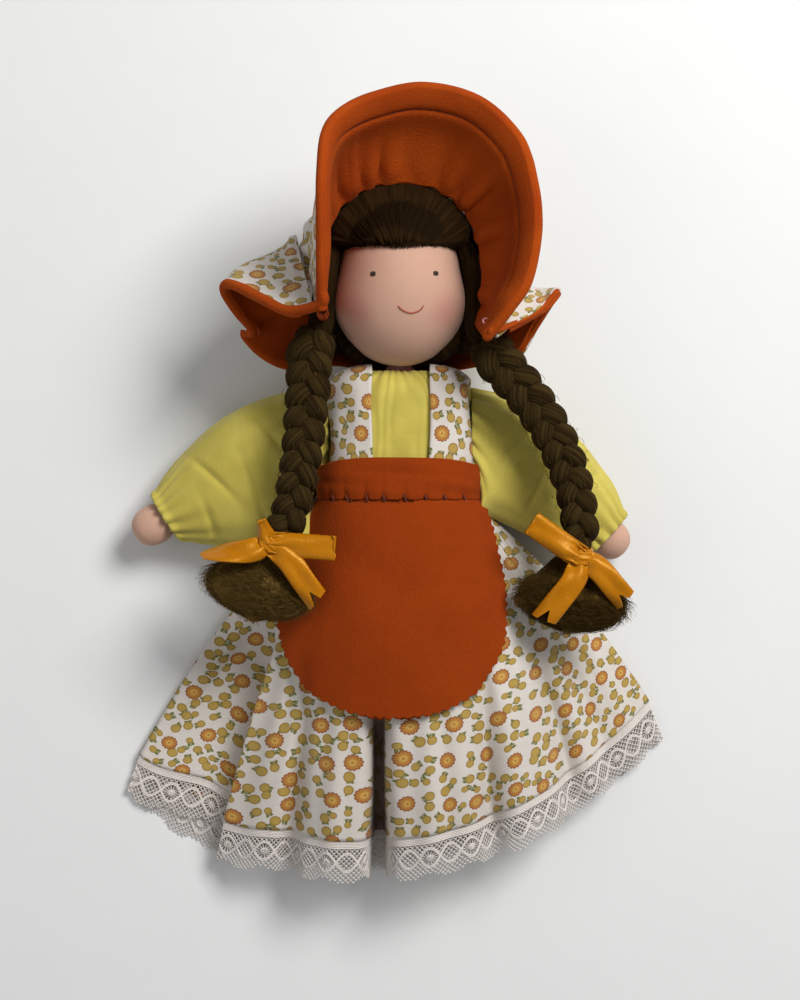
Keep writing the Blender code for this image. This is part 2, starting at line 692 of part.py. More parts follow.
def make_sleeve(side_name, side, hand, fullness, sag):
    """A puffed sleeve round the arm, gathered at the wrist."""
    root = shoulder_place(side)
    start = Vector((side * (TORSO_WIDTH / 2 + COTTON + GAP + SLEEVE_START), SHOULDER_Y, SHOULDER_HEIGHT))
    aim = (hand - root).normalized()
    cuff = hand - aim * (HAND_RADIUS * 1.35)
    beside = np.array(Vector((-aim.y, aim.x, 0.0)).normalized()) * -side
    beside = beside * (1.0 if beside[1] > 0.0 else -1.0)
    share, turn = np.meshgrid(np.linspace(0.0, 1.0, 10),
                              np.linspace(0.0, math.tau, 16, endpoint=False), indexing="ij")
    middle = np.array(start) + (np.array(cuff) - np.array(start)) * share[..., None]
    swing = smooth_step(share * 2.2)[..., None]
    wide = np.array((0.0, 1.0, 0.0)) * (1.0 - swing) + beside * swing
    wide = wide / np.linalg.norm(wide, axis=-1, keepdims=True)
    puff = np.sin(math.pi * share) ** 0.8
    half = SLEEVE_HEAD + (SLEEVE_CUFF - SLEEVE_HEAD) * share + fullness * puff
    tall = SLEEVE_HEIGHT + (SLEEVE_CUFF_HEIGHT - SLEEVE_HEIGHT) * share + 0.16 * fullness * puff
    middle = middle - wide * (sag * puff)[..., None]
    grid = middle + wide * (half * np.cos(turn))[..., None]
    grid[..., 2] += tall * np.sin(turn)
    cloth_piece("sleeve_" + side_name, grid, COTTON, yellow_cotton(), wrap=True)


def hip_place(side):
    return Vector((side * LEG_SPACING / 2, LEG_TOP - LEG_RADIUS, LEG_HIP_HEIGHT))


def make_leg(side_name, side):
    """A stuffed leg, drawn in at the ankle, with a round foot."""
    root = hip_place(side)
    foot = Vector((side * LEG_SPACING / 2, LEG_TOP - LEG_LENGTH, LEG_FOOT_HEIGHT))
    aim = foot - root
    reach = aim.length
    foot_radius = LEG_RADIUS * 1.05
    stations = []
    for step in range(6):
        turn = (0.12 + 0.62 * step / 5) * math.pi
        stations.append((reach - foot_radius + foot_radius * math.cos(turn), foot_radius * math.sin(turn)))
    stations.append((reach - foot_radius * 2.3, LEG_RADIUS * 0.80))
    stations.append((reach * 0.55, LEG_RADIUS * 0.90))
    stations.append((reach * 0.25, LEG_RADIUS * 0.98))
    stations.append((0.0, LEG_RADIUS))
    turned_piece("leg_" + side_name, limb_profile(stations, LEG_RADIUS), 12, skin(), root, aim)


# Head
def make_head():
    """The head ball, fuller at the cheeks, on a short neck that the tie draws in."""
    form = bmesh.new()
    bmesh.ops.create_uvsphere(form, u_segments=24, v_segments=16, radius=1.0)
    for vert in form.verts:
        unit = vert.co.copy()
        full = 1.0 - 0.05 * max(unit.y, 0.0) ** 2 + 0.03 * math.exp(-((unit.y + 0.35) / 0.35) ** 2)
        half = Vector((HEAD_WIDTH * full, HEAD_HEIGHT, HEAD_DEPTH)) / 2
        vert.co = unit * half
    mesh = bpy.data.meshes.new("head")
    form.to_mesh(mesh)
    form.free()
    head = add_piece("head", mesh, skin())
    head.location = HEAD_PLACE
    bottom = TORSO_TOP + GAP
    bpy.ops.mesh.primitive_cone_add(vertices=20, radius1=NECK_TIED_RADIUS, radius2=NECK_RADIUS,
                                    depth=NECK_TOP - bottom, rotation=(-math.pi / 2, 0.0, 0.0),
                                    location=(0.0, (bottom + NECK_TOP) / 2, NECK_HEIGHT))
    neck = as_guide(bpy.context.object)
    neck.name = "neck_guide"
    combine(head, neck, "UNION")


def head_shell(angle, polar, outside):
    """A point outside the head: polar is measured from the back of the head."""
    height = np.sin(polar) * np.sin(angle)
    full = 1.0 + 0.03 * np.exp(-((height + 0.35) / 0.35) ** 2) * (outside > 0.0)
    x = (HEAD_WIDTH / 2 * full + outside) * np.sin(polar) * np.cos(angle)
    y = (HEAD_HEIGHT / 2 + outside) * np.sin(polar) * np.sin(angle)
    z = -(HEAD_DEPTH / 2 + outside) * np.cos(polar)
    return np.stack((x, y, z), axis=-1) + np.array(HEAD_PLACE)


def make_hair_cap():
    """A cap of hair over the back and top of the head, with a straight fringe."""
    angles = np.linspace(0.0, math.tau, COLUMNS_ROUND, endpoint=False)
    outside = GAP * 4 + HAIR_THICKNESS / 2
    line = (HAIRLINE_Y - HEAD_PLACE.y) / (HEAD_HEIGHT / 2 + outside)
    lift = np.maximum(np.sin(angles), line)
    edge = math.pi - np.arcsin(np.clip(line / lift, -1.0, 1.0))
    nape = math.acos(1.0 - NAPE_HAIR_DROP / HEAD_HEIGHT * 0.82)
    low = np.clip(-np.sin(angles), 0.0, 1.0)
    edge = np.where(np.sin(angles) < 0.0, math.pi / 2 + (nape - math.pi / 2) * smooth_step(low * 1.6), edge)
    shares = np.linspace(0.02, 1.0, 11)
    grid = np.stack([head_shell(angles, edge * share, outside) for share in shares])
    cloth_piece("hair_cap", grid, HAIR_THICKNESS, hair(), wrap=True, pole=True)


def make_neck_tie():
    """The thread that ties off the neck below the head."""
    bottom = TORSO_TOP + GAP
    height = bottom + COTTON + GAP + THREAD_RADIUS
    rise = (height + THREAD_RADIUS - bottom) / (NECK_TOP - bottom)
    major = NECK_TIED_RADIUS + (NECK_RADIUS - NECK_TIED_RADIUS) * rise + GAP + THREAD_RADIUS
    ring_piece("neck_tie", major, THREAD_RADIUS, 18, (0.0, height, NECK_HEIGHT), (0.0, 1.0, 0.0), thread())


# Bonnet
def bonnet_rim(angle):
    """The line where crown, brim and frill meet: a horseshoe in front, drawn in at the nape."""
    rise, side = np.sin(angle), np.cos(angle)
    x = RIM_HALF_WIDTH * signed_power(side, 0.8)
    y = HEAD_PLACE.y + np.where(rise > 0.0, RIM_TOP, RIM_BOTTOM) * rise
    z = RIM_HEIGHT + (NAPE_HEIGHT - RIM_HEIGHT) * smooth_step(-rise)
    return np.stack((x, y, z), axis=-1)


def bonnet_table(shares):
    return np.array(shares) * BONNET_SPAN + np.array(HEAD_PLACE)


def crown_point(angle, share):
    """The puffed crown: from the ground behind the head out and in again to the rim."""
    rim = bonnet_rim(angle)
    side = np.clip(-np.cos(angle), 0.0, 1.0) ** 2 * smooth_step((np.sin(angle) + 0.5) / 0.5)
    full = 0.5 + 0.10 * (1.0 + np.sin(angle)) + 0.08 * side
    out = np.sin(math.pi * full * share) / np.sin(math.pi * full)
    up = (1.0 - np.cos(0.75 * math.pi * share)) / (1.0 - math.cos(0.75 * math.pi))
    centre = np.array((HEAD_PLACE.x, HEAD_PLACE.y, 0.0))
    point = centre + (rim - centre) * np.stack((out, out, up), axis=-1)
    point[..., 2] = np.maximum(point[..., 2], COTTON / 2)
    return point


def make_bonnet_crown():
    angles = np.linspace(0.0, math.tau, 32, endpoint=False)
    share, angle = np.meshgrid(np.linspace(0.03, 0.97, 10), angles, indexing="ij")
    cloth_piece("bonnet_crown", crown_point(angle, share), COTTON, print_cotton(), wrap=True, pole=True)


def brim_grid(columns, rows):
    """The brim between the rim and its outer edge, bulged and gathered at the rim."""
    place = np.linspace(0.0, 1.0, columns)
    angle = math.radians(-30.0) + math.radians(240.0) * place
    inner = bonnet_rim(angle)
    outer = through(bonnet_table(BRIM_EDGE_SHARES), place)
    run = outer - inner
    length = np.linalg.norm(run, axis=1, keepdims=True)
    inner = inner + run / length * SEAM_GAP
    share = np.linspace(0.0, 1.0, rows)[:, None, None]
    grid = inner[None] + (outer - inner)[None] * share
    outward = np.stack((np.cos(angle), np.sin(angle), np.zeros_like(angle)), axis=-1)
    fullness = np.clip(0.5 + 0.5 * np.sin(angle), 0.0, 1.0)[None, :, None]
    wave = np.cos(math.tau * BRIM_GATHERS * place)[None, :, None] * (1.0 - share) ** 1.5 * share ** 0.5
    return grid + outward[None] * (BRIM_BULGE * fullness * np.sin(math.pi * share) + BRIM_GATHER * wave)


def make_brim():
    """Two layers sewn edge to edge: flowered cotton behind and felt in front."""
    grid = brim_grid(40, 6)
    cloth_piece("bonnet_brim", grid, COTTON, print_cotton(), shift=(BRIM_LAYER_GAP + COTTON) / 2)
    cloth_piece("bonnet_brim_lining", grid, FELT, orange_felt(), shift=-(BRIM_LAYER_GAP + FELT) / 2)


def frill_grid(columns, rows):
    """The frill from its seam on the crown out to its flared hem."""
    place = np.linspace(0.0, 1.0, columns)
    angle = FRILL_START + (FRILL_END - FRILL_START) * place
    stations = np.linspace(0.0, 1.0, len(FRILL_SEAM_SHARES))
    inner = crown_point(angle, np.interp(place, stations, FRILL_SEAM_SHARES))
    hem = through(bonnet_table(FRILL_HEM_SHARES), place)
    away = np.stack((np.cos(angle), np.sin(angle), np.zeros_like(angle)), axis=-1)
    inner = inner + away * (SEAM_GAP * (1.0 + 1.8 * np.abs(np.cos(angle)) ** 0.5))[:, None]
    share = np.linspace(0.0, 1.0, rows)[:, None, None]
    return inner[None] + (hem - inner)[None] * share


def make_frill():
    """The neck frill below the crown, flared out in a fold on each side."""
    grid = frill_grid(32, 5)
    cloth_piece("bonnet_frill", grid, COTTON, print_cotton(), shift=(FRILL_LAYER_GAP + COTTON) / 2)
    cloth_piece("bonnet_frill_lining", grid, FELT, orange_felt(), shift=-(FRILL_LAYER_GAP + FELT) / 2)


# Plaits
def plait_route(route, count):
    points = np.array([(x, y, PLAIT_LEVEL) for x, y in route])
    return through(points, np.linspace(0.0, 1.0, count))


def make_plait(side_name, route):
    """Three strands laid over one another: two columns of lobes on a flattened tube."""
    fine = plait_route(route, 200)
    steps = np.linalg.norm(np.diff(fine, axis=0), axis=1)
    run = np.concatenate(((0.0,), np.cumsum(steps)))
    lobes = max(int(round(run[-1] / PLAIT_LOBE)), 1)
    root = -PLAIT_ROOT_RADIUS * np.cos(np.linspace(0.12, 0.5, 4)[:-1] * math.pi)
    place = np.concatenate((root, np.linspace(0.0, run[-1], lobes * 4 + 1)))
    rows = len(place)
    middle = np.stack([np.interp(place, run, fine[:, k]) for k in range(3)], axis=-1)
    middle += (fine[1] - fine[0]) / steps[0] * np.minimum(place, 0.0)[:, None]
    along = np.gradient(middle, axis=0)
    along /= np.linalg.norm(along, axis=1, keepdims=True)
    beside = np.stack((-along[:, 1], along[:, 0], np.zeros(rows)), axis=-1)
    share = place / run[-1]
    turn = np.linspace(0.0, math.tau, 10, endpoint=False)
    share_grid, turn_grid = np.meshgrid(share, turn, indexing="ij")
    side = np.cos(turn_grid)
    slant = PLAIT_SLANT_SHARE * (1.0 - np.abs(side))
    offset = np.where(side >= 0.0, 0.0, 0.5)
    phase = share_grid * lobes + offset + slant
    lobe = 0.78 + 0.22 * np.abs(np.sin(math.pi * phase)) ** 0.7
    start = smooth_step(share_grid / PLAIT_EASE_SHARE)
    tied = PLAIT_TIE_LENGTH / run[-1]
    end = smooth_step((1.0 - tied - share_grid) / PLAIT_EASE_SHARE)
    behind = np.minimum(place, 0.0)[:, None]
    ball = np.sqrt(PLAIT_ROOT_RADIUS ** 2 - behind ** 2)
    half = (PLAIT_WIDTH + (PLAIT_END_WIDTH - PLAIT_WIDTH) * share_grid) / 2 * lobe
    half = ball + (half - ball) * start
    tall = ball + (PLAIT_DEPTH / 2 * lobe - ball) * start
    half = PLAIT_TIE_RADIUS + (half - PLAIT_TIE_RADIUS) * end
    tall = PLAIT_TIE_RADIUS + (tall - PLAIT_TIE_RADIUS) * end
    rings = middle[:, None] + beside[:, None] * (half * side)[..., None]
    rings[..., 2] += tall * np.sin(turn_grid)
    stuffed_piece("plait_" + side_name, rings, hair())
    return middle[-1], along[-1]


def make_tuft(side_name, end, along, aim_angle, width):
    """The loose brush of hair below the ribbon."""
    aim = np.array((math.cos(aim_angle), math.sin(aim_angle), 0.0))
    beside = np.array((-aim[1], aim[0], 0.0))
    share = np.array((0.0, 0.10, 0.24, 0.42, 0.62, 0.80, 0.92, 1.0))
    wide = np.array((0.22, 0.50, 0.82, 0.97, 1.0, 0.90, 0.68, 0.30))
    skew = abs(along[0] * aim[1] - along[1] * aim[0])
    start = end + along * (GAP + wide[0] * width / 2 * skew)
    turn = np.linspace(0.0, math.tau, 16, endpoint=False)
    share_grid, turn_grid = np.meshgrid(share, turn, indexing="ij")
    half = wide[:, None] * width / 2 * np.cos(turn_grid)
    tall = np.maximum(wide[:, None], 0.5) * TUFT_DEPTH / 2 * np.sin(turn_grid)
    reach = TUFT_LENGTH * share_grid + KNOT_RADIUS * 1.6 * np.minimum(share_grid * 8.0, 1.0)
    reach = reach + TUFT_LENGTH * 0.10 * np.cos(turn_grid * 2.0) * share_grid
    rings = start + aim * reach[..., None] + beside * half[..., None]
    rings[..., 2] += tall - TUFT_DROP * smooth_step(share_grid * 2.5)
    stuffed_piece(side_name + "_plait_tuft", rings, hair())


# Hair ribbons
def ribbon_strip(name, route, width):
    """A flat strip of ribbon along a route, with its width level."""
    points = through(route, np.linspace(0.0, 1.0, 9))
    along = np.gradient(points, axis=0)
    beside = np.stack((-along[:, 1], along[:, 0], np.zeros(len(points))), axis=-1)
    beside /= np.linalg.norm(beside, axis=1, keepdims=True)
    offsets = np.linspace(-0.5, 0.5, 3) * width
    grid = points[:, None] + beside[:, None] * offsets[None, :, None]
    return as_guide(cloth_piece(name, grid, RIBBON_CLOTH, satin()))


def ribbon_loop(name, start, aim_angle, reach, width):
    """A loop of ribbon that leaves the knot, turns over and comes back below itself."""
    aim = np.array((math.cos(aim_angle), math.sin(aim_angle), 0.0))
    beside = np.array((-aim[1], aim[0], 0.0))
    turn = np.linspace(0.4, math.tau - 0.4, 15)
    out = reach * (1.0 - np.cos(turn)) / 2
    points = start + aim * out[:, None]
    points[:, 2] += RIBBON_LIFT * (0.3 * np.cos(turn / 2) + 0.8 * np.maximum(np.sin(turn), 0.0))
    offsets = np.linspace(-0.5, 0.5, 3) * width
    grid = points[None] + beside * offsets[:, None, None]
    return as_guide(cloth_piece(name, grid, RIBBON_CLOTH, satin()))


def make_ribbon(side_name, end, along, loops, tails):
    """One tied ribbon: a band round the plait, its knot, its loops and its tails."""
    flat = math.atan2(along[1], along[0])
    band = PLAIT_TIE_RADIUS + GAP + RIBBON_CLOTH
    middle = end - along * KNOT_RADIUS * 0.55
    ring = ring_piece("hair_ribbon_" + side_name, band, RIBBON_CLOTH, 20, tuple(middle), along, satin())
    top = middle + np.array((0.0, 0.0, band + RIBBON_CLOTH + KNOT_RADIUS * 0.50))
    form = bmesh.new()
    bmesh.ops.create_uvsphere(form, u_segments=12, v_segments=8, radius=KNOT_RADIUS)
    bmesh.ops.scale(form, vec=(1.1, 0.95, 0.62), verts=form.verts)
    bmesh.ops.rotate(form, matrix=Matrix.Rotation(flat, 3, "Z"), verts=form.verts)
    bmesh.ops.translate(form, vec=tuple(top), verts=form.verts)
    mesh = bpy.data.meshes.new("knot")
    form.to_mesh(mesh)
    form.free()
    parts = [as_guide(add_piece("knot_" + side_name, mesh, satin()))]
    for number, (aim, reach) in enumerate(loops):
        name = "loop_%s_%d" % (side_name, number)
        parts.append(ribbon_loop(name, top, math.radians(aim), reach * RIBBON_REACH, RIBBON_WIDTH))
    for number, (aim, reach, droop) in enumerate(tails):
        turn = math.radians(aim)
        step = np.array((math.cos(turn), math.sin(turn), 0.0)) * reach * RIBBON_REACH
        mid = top + step * 0.5 + np.array((0.0, 0.0, RIBBON_LIFT * 0.6))
        last = top + step - np.array((0.0, 0.0, droop * RIBBON_REACH))
        parts.append(ribbon_strip("tail_%s_%d" % (side_name, number), (top, mid, last), RIBBON_WIDTH))
    for part in parts:
        combine(ring, part, "UNION")


def make_plaits(side_name, route, aim, width, loops, tails):
    end, along = make_plait(side_name, route)
    make_tuft(side_name, end, along, aim, width)
    make_ribbon(side_name, end, along, loops, tails)


def hang_pieces():
    """Puts each moving piece on the empty at its joint, and all of them on the doll's middle."""
    named = bpy.data.objects
    head = pivot_at("head_pivot", HEAD_PIVOT)
    hang_on(head, [named[name] for name in HEAD_NAMES])
    for side_name, side, route in (("right", -1.0, PLAIT_RIGHT_ROUTE), ("left", 1.0, PLAIT_LEFT_ROUTE)):
        plait = pivot_at("plait_%s_pivot" % side_name, (*route[0], PLAIT_LEVEL))
        hang_on(plait, [named[name % side_name] for name in PLAIT_NAMES])
        hang_on(head, [plait])
        shoulder = pivot_at("shoulder_%s_pivot" % side_name, shoulder_place(side))
        hang_on(shoulder, [named["arm_" + side_name], named["sleeve_" + side_name]])
        hip = pivot_at("hip_%s_pivot" % side_name, hip_place(side))
        hang_on(hip, [named["leg_" + side_name]])
    middle = pivot_at("doll_middle", DOLL_SHIFT)
    for item in list(model.objects) + list(guides.objects):
        if item.parent is None and item is not middle:
            item.parent = middle


def make_doll():
    make_torso()
    make_bodice()
    make_waistband()
    make_skirt()
    make_lace()
    make_apron_panel()
    for side_name, side in BOTH_SIDES:
        make_strap(side_name, side)
        make_leg(side_name, side)
    for side_name, side, hand, fullness, sag in (
            ("right", -1.0, HAND_RIGHT, SLEEVE_PUFF_RIGHT, SLEEVE_SAG_RIGHT),
            ("left", 1.0, HAND_LEFT, SLEEVE_PUFF_LEFT, SLEEVE_SAG_LEFT)):
        make_arm(side_name, side, hand)
        make_sleeve(side_name, side, hand, fullness, sag)
    make_head()
    make_neck_tie()
    make_hair_cap()
    make_bonnet_crown()
    make_brim()
    make_frill()
    make_plaits("right", PLAIT_RIGHT_ROUTE, TUFT_RIGHT_AIM, TUFT_RIGHT_WIDTH,
                RIBBON_RIGHT_LOOP_SHARES, RIBBON_RIGHT_TAIL_SHARES)
    make_plaits("left", PLAIT_LEFT_ROUTE, TUFT_LEFT_AIM, TUFT_LEFT_WIDTH,
                RIBBON_LEFT_LOOP_SHARES, RIBBON_LEFT_TAIL_SHARES)
    hang_pieces()


clear_scene()
model = new_collection("cloth_doll")
guides = new_collection("cutters")
make_doll()
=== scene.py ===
import math

import bpy
import numpy as np
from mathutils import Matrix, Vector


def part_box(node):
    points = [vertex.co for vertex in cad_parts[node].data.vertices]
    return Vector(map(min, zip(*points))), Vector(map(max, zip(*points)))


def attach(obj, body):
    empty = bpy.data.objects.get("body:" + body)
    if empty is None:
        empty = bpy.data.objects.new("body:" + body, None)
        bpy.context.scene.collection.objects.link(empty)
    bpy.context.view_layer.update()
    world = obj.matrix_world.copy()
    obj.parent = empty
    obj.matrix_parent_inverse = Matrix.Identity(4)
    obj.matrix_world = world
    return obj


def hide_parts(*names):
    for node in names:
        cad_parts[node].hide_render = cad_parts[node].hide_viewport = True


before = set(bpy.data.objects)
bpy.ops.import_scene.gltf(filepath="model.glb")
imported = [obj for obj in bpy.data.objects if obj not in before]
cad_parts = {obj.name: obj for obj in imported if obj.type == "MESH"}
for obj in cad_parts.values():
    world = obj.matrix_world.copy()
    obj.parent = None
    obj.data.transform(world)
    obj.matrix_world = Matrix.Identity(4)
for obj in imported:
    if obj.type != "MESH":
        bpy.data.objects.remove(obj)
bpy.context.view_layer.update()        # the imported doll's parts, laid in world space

# Stuffed body under the clothes, in metres; the doll lies on its back, head towards +Y
body = {"top": 0.0372, "shoulder": 0.0290, "hip": -0.0080, "bottom": -0.0145, "width": 0.0400,
        "depth": 0.0286, "height": 0.0188, "neckWidth": 0.0130, "roundness": 2.4}
torsoLow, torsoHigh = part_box("torso")
dollShift = np.array(((torsoLow.x + torsoHigh.x) / 2, torsoHigh.y - body["top"], 0.0))
cloth = {"gap": 0.0003, "cotton": 0.0008, "skirt": 0.0010, "felt": 0.0014}
headPlace = np.array((0.0, 0.0640, 0.0285))
headSize = np.array((0.0390, 0.0490, 0.0410))
print("frame loaded:", len(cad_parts), "nodes")


# Shared shapes
def smoothStep(share):
    share = np.clip(share, 0.0, 1.0)
    return share * share * (3.0 - 2.0 * share)


def signedPower(value, power):
    return np.sign(value) * np.abs(value) ** power


def bump(value, middle, halfWidth):
    # bell: e to the minus square of the distance in half widths
    return np.exp(-((value - middle) / halfWidth) ** 2)


def through(points, shares):
    # Catmull-Rom curve through the points, read at shares from 0 to 1
    points = np.asarray(points, float)
    count = len(points)
    padded = np.vstack((2 * points[0] - points[1], points, 2 * points[-1] - points[-2]))
    place = np.clip(np.asarray(shares, float), 0.0, 1.0) * (count - 1)
    start = np.minimum(place.astype(int), count - 2)
    step = (place - start)[..., None]
    a, b, c, d = (padded[start + k] for k in range(4))
    return 0.5 * (2 * b + (c - a) * step + (2 * a - 5 * b + 4 * c - d) * step ** 2
                  + (3 * b - a - 3 * c + d) * step ** 3)


def ripple(u, v, seed, low=1.0, high=3.0, waves=7):
    # smooth unevenness: a sum of sine waves with seeded directions and phases, from about -1 to 1
    rng = np.random.default_rng(seed)
    total = np.zeros(np.broadcast(u, v).shape)
    for _ in range(waves):
        angle, phase = rng.uniform(0, math.tau, 2)
        count = rng.uniform(low, high) * math.tau
        total = total + np.sin(count * (u * math.cos(angle) + v * math.sin(angle)) + phase)
    return total / waves ** 0.5 / 1.4


def lengthAlong(points, axis):
    # running length of the lines of a grid along one of its axes
    step = np.linalg.norm(np.diff(points, axis=axis), axis=2)
    total = np.cumsum(step, axis=axis)
    first = np.zeros_like(np.take(total, [0], axis=axis))
    return np.concatenate((first, total), axis=axis)


def ringTurns(count):
    # angles once round a closed ring
    return np.linspace(0.0, math.tau, count, endpoint=False)


def overGrid(rows, columns):
    # both parameters of a surface, each as a whole grid
    return np.meshgrid(rows, columns, indexing="ij")


def acrossTable(share, table):
    # straight lines between the evenly spaced entries of a table
    return np.interp(share, np.linspace(0.0, 1.0, len(table)), table)


def endEase(count, first, slope, last=None):
    # 1 along a path, falling in straight lines to its ends
    last = first if last is None else last
    return np.minimum(np.minimum(np.linspace(first, slope, count), np.linspace(slope, last, count)), 1.0)


def gridNormals(grid, wrap):
    if wrap:
        across = np.roll(grid, -1, axis=1) - np.roll(grid, 1, axis=1)
    else:
        across = np.gradient(grid, axis=1)
    normal = np.cross(across, np.gradient(grid, axis=0))
    return normal / np.maximum(np.linalg.norm(normal, axis=2, keepdims=True), 1e-12)


def putMesh(name, points, faces, corners=None, shift=True):
    # points and faces as arrays; corners holds one cut-cloth place in metres per face corner
    mesh = bpy.data.meshes.new(name)
    mesh.from_pydata((np.asarray(points) + (dollShift if shift else 0.0)).tolist(), [], faces)
    if corners is not None:
        layer = mesh.uv_layers.new(name="cut")
        layer.data.foreach_set("uv", np.asarray(corners, np.float32).ravel())
    mesh.shade_smooth()
    mesh.update()
    piece = bpy.data.objects.new(name, mesh)
    bpy.context.scene.collection.objects.link(piece)
    return piece


def quadsOf(rows, columns, wrap):
    last = columns if wrap else columns - 1
    row, column = np.meshgrid(np.arange(rows - 1), np.arange(last), indexing="ij")
    row, column = row.ravel(), column.ravel()
    beside = (column + 1) % columns
    return np.stack((row * columns + column, row * columns + beside,
                     (row + 1) * columns + beside, (row + 1) * columns + column), axis=1)


def gridPiece(name, grid, wrap=False, capStart=False, capEnd=False, cut=None):
    # a surface over two parameters: rows run down, columns across, a wrapped grid closes on itself;
    # cut is the same surface laid flat, or else its mean width and its own length
    rows, columns = grid.shape[:2]
    unrolled = np.concatenate((grid, grid[:, :1]), axis=1) if wrap else grid
    down = lengthAlong(unrolled, 0)
    across = lengthAlong(unrolled, 1).mean(axis=0) + 0.0 * down
    place = np.stack((across, -down), axis=2) if cut is None else cut
    quads = quadsOf(rows, columns, wrap)
    wide = quadsOf(rows, unrolled.shape[1], False)
    corners = place.reshape(-1, 2)[wide].reshape(-1, 2)
    points = grid.reshape(-1, 3)
    faces = quads.tolist()
    for wanted, row in ((capStart, 0), (capEnd, rows - 1)):
        if wanted:
            tip = len(points)
            points = np.vstack((points, grid[row].mean(axis=0)))
            ring = row * columns + np.arange(columns)
            beside = np.roll(ring, -1)
            middle = np.full(columns, tip)
            fan = (ring, middle, beside) if row == 0 else (ring, beside, middle)
            faces += np.stack(fan, axis=1).tolist()
            corners = np.vstack((corners, np.zeros((columns * 3, 2))))
    piece = putMesh(name, points, faces, corners)
    if capStart or capEnd:
        faceOutwards(piece)
    return piece


def faceOutwards(piece):
    # turns a closed mesh right side out if its signed volume is negative
    mesh = piece.data
    mesh.calc_loop_triangles()
    triangles = np.zeros(len(mesh.loop_triangles) * 3, int)
    mesh.loop_triangles.foreach_get("vertices", triangles)
    points = np.zeros(len(mesh.vertices) * 3)
    mesh.vertices.foreach_get("co", points)
    a, b, c = (points.reshape(-1, 3)[triangles.reshape(-1, 3)[:, k]] for k in range(3))
    if (a * np.cross(b, c)).sum() < 0:
        mesh.flip_normals()


def thicken(piece, thickness):
    shell = piece.modifiers.new("thickness", "SOLIDIFY")
    shell.thickness = thickness
    shell.offset = 0.0
    return piece


def clothPiece(name, grid, thickness, wrap=False, shift=0.0, capStart=False, cut=None):
    # a sheet: the grid moved along its normals, then thickened to both sides
    if shift:
        grid = grid + gridNormals(grid, wrap) * shift
    piece = gridPiece(name, grid, wrap, capStart, cut=cut)
    return thicken(piece, thickness)


def tubes(name, paths, radii, sides=6, up=(0.0, 0.0, 1.0), relief=None):
    # a round profile carried along many paths at once: paths (tubes, points, 3),
    # radii (tubes, points); relief multiplies the radius by a function of turn and length
    paths = np.asarray(paths, float)
    count, length = paths.shape[:2]
    radii = np.broadcast_to(np.asarray(radii, float), (count, length))
    along = np.gradient(paths, axis=1)
    along /= np.maximum(np.linalg.norm(along, axis=2, keepdims=True), 1e-12)
    side = np.cross(along, np.broadcast_to(np.asarray(up, float), paths.shape))
    side /= np.maximum(np.linalg.norm(side, axis=2, keepdims=True), 1e-12)
    above = np.cross(side, along)
    turn = np.arange(sides) / sides * math.tau
    run = lengthAlong(paths, 1)
    ring = side[:, :, None] * np.cos(turn)[:, None] + above[:, :, None] * np.sin(turn)[:, None]
    ring = ring * radii[..., None, None]
    if relief:
        ring = ring * relief(turn[None, None], run[..., None])[..., None]
    points = (paths[:, :, None] + ring).reshape(-1, 3)
    quads = quadsOf(length, sides, True)
    offsets = np.arange(count)[:, None, None] * length * sides
    faces = (quads[None] + offsets).reshape(-1, 4).tolist()
    first = (np.arange(sides)[None] + offsets[:, 0]).tolist()
    last = (np.arange(sides)[::-1][None] + (length - 1) * sides + offsets[:, 0]).tolist()
    u = np.broadcast_to(np.arange(sides + 1)[None, None] / sides, (count, length, sides + 1))
    v = np.broadcast_to(run[..., None], (count, length, sides + 1))
    wide = quadsOf(length, sides + 1, False)
    place = np.stack((u * radii[..., None] * math.tau, v), axis=3).reshape(count, -1, 2)
    corners = place[:, wide].reshape(-1, 2)
    caps = np.zeros((count * sides * 2, 2))
    piece = putMesh(name, points, faces + first + last, np.vstack((corners, caps)))
    faceOutwards(piece)
    return piece


def resample(path, count):
    # the same line with evenly spaced points
    run = np.concatenate(((0.0,), np.cumsum(np.linalg.norm(np.diff(path, axis=0), axis=1))))
    place = np.linspace(0.0, run[-1], count)
    return np.stack([np.interp(place, run, path[:, k]) for k in range(3)], axis=1)


# Node wiring: a value is a socket, a number or a tuple
def put(tree, kind, **settings):
    node = tree.nodes.new(kind)
    for key, value in settings.items():
        setattr(node, key, value)
    return node


def feed(tree, socket, value):
    if isinstance(value, bpy.types.NodeSocket):
        tree.links.new(value, socket)
    else:
        socket.default_value = value


def calc(tree, operation, *values):
    node = put(tree, "ShaderNodeMath", operation=operation)
    for k, value in enumerate(values):
        feed(tree, node.inputs[k], value)
    return node.outputs[0]


def times(tree, first, second):
    return calc(tree, "MULTIPLY", first, second)


def over(tree, first, second):
    return calc(tree, "DIVIDE", first, second)


def plus(tree, first, second):
    return calc(tree, "ADD", first, second)


def minus(tree, first, second):
    return calc(tree, "SUBTRACT", first, second)


def vectorCalc(tree, operation, *values):
    node = put(tree, "ShaderNodeVectorMath", operation=operation)
    for k, value in enumerate(values):
        feed(tree, node.inputs["Scale"] if operation == "SCALE" and k == 1 else node.inputs[k], value)
    return node.outputs["Value" if operation in ("LENGTH", "DISTANCE") else "Vector"]


def blendColours(tree, share, first, second, how="MIX"):
    node = put(tree, "ShaderNodeMix", data_type="RGBA", blend_type=how)
    feed(tree, node.inputs[0], share)
    feed(tree, node.inputs[6], first)
    feed(tree, node.inputs[7], second)
    return node.outputs[2]


def between(tree, value, low, high, first=0.0, second=1.0):
    # smooth step from first to second as the value goes from low to high
    node = put(tree, "ShaderNodeMapRange", interpolation_type="SMOOTHSTEP")
    for k, item in enumerate((value, low, high, first, second)):
        feed(tree, node.inputs[k], item)
    return node.outputs[0]


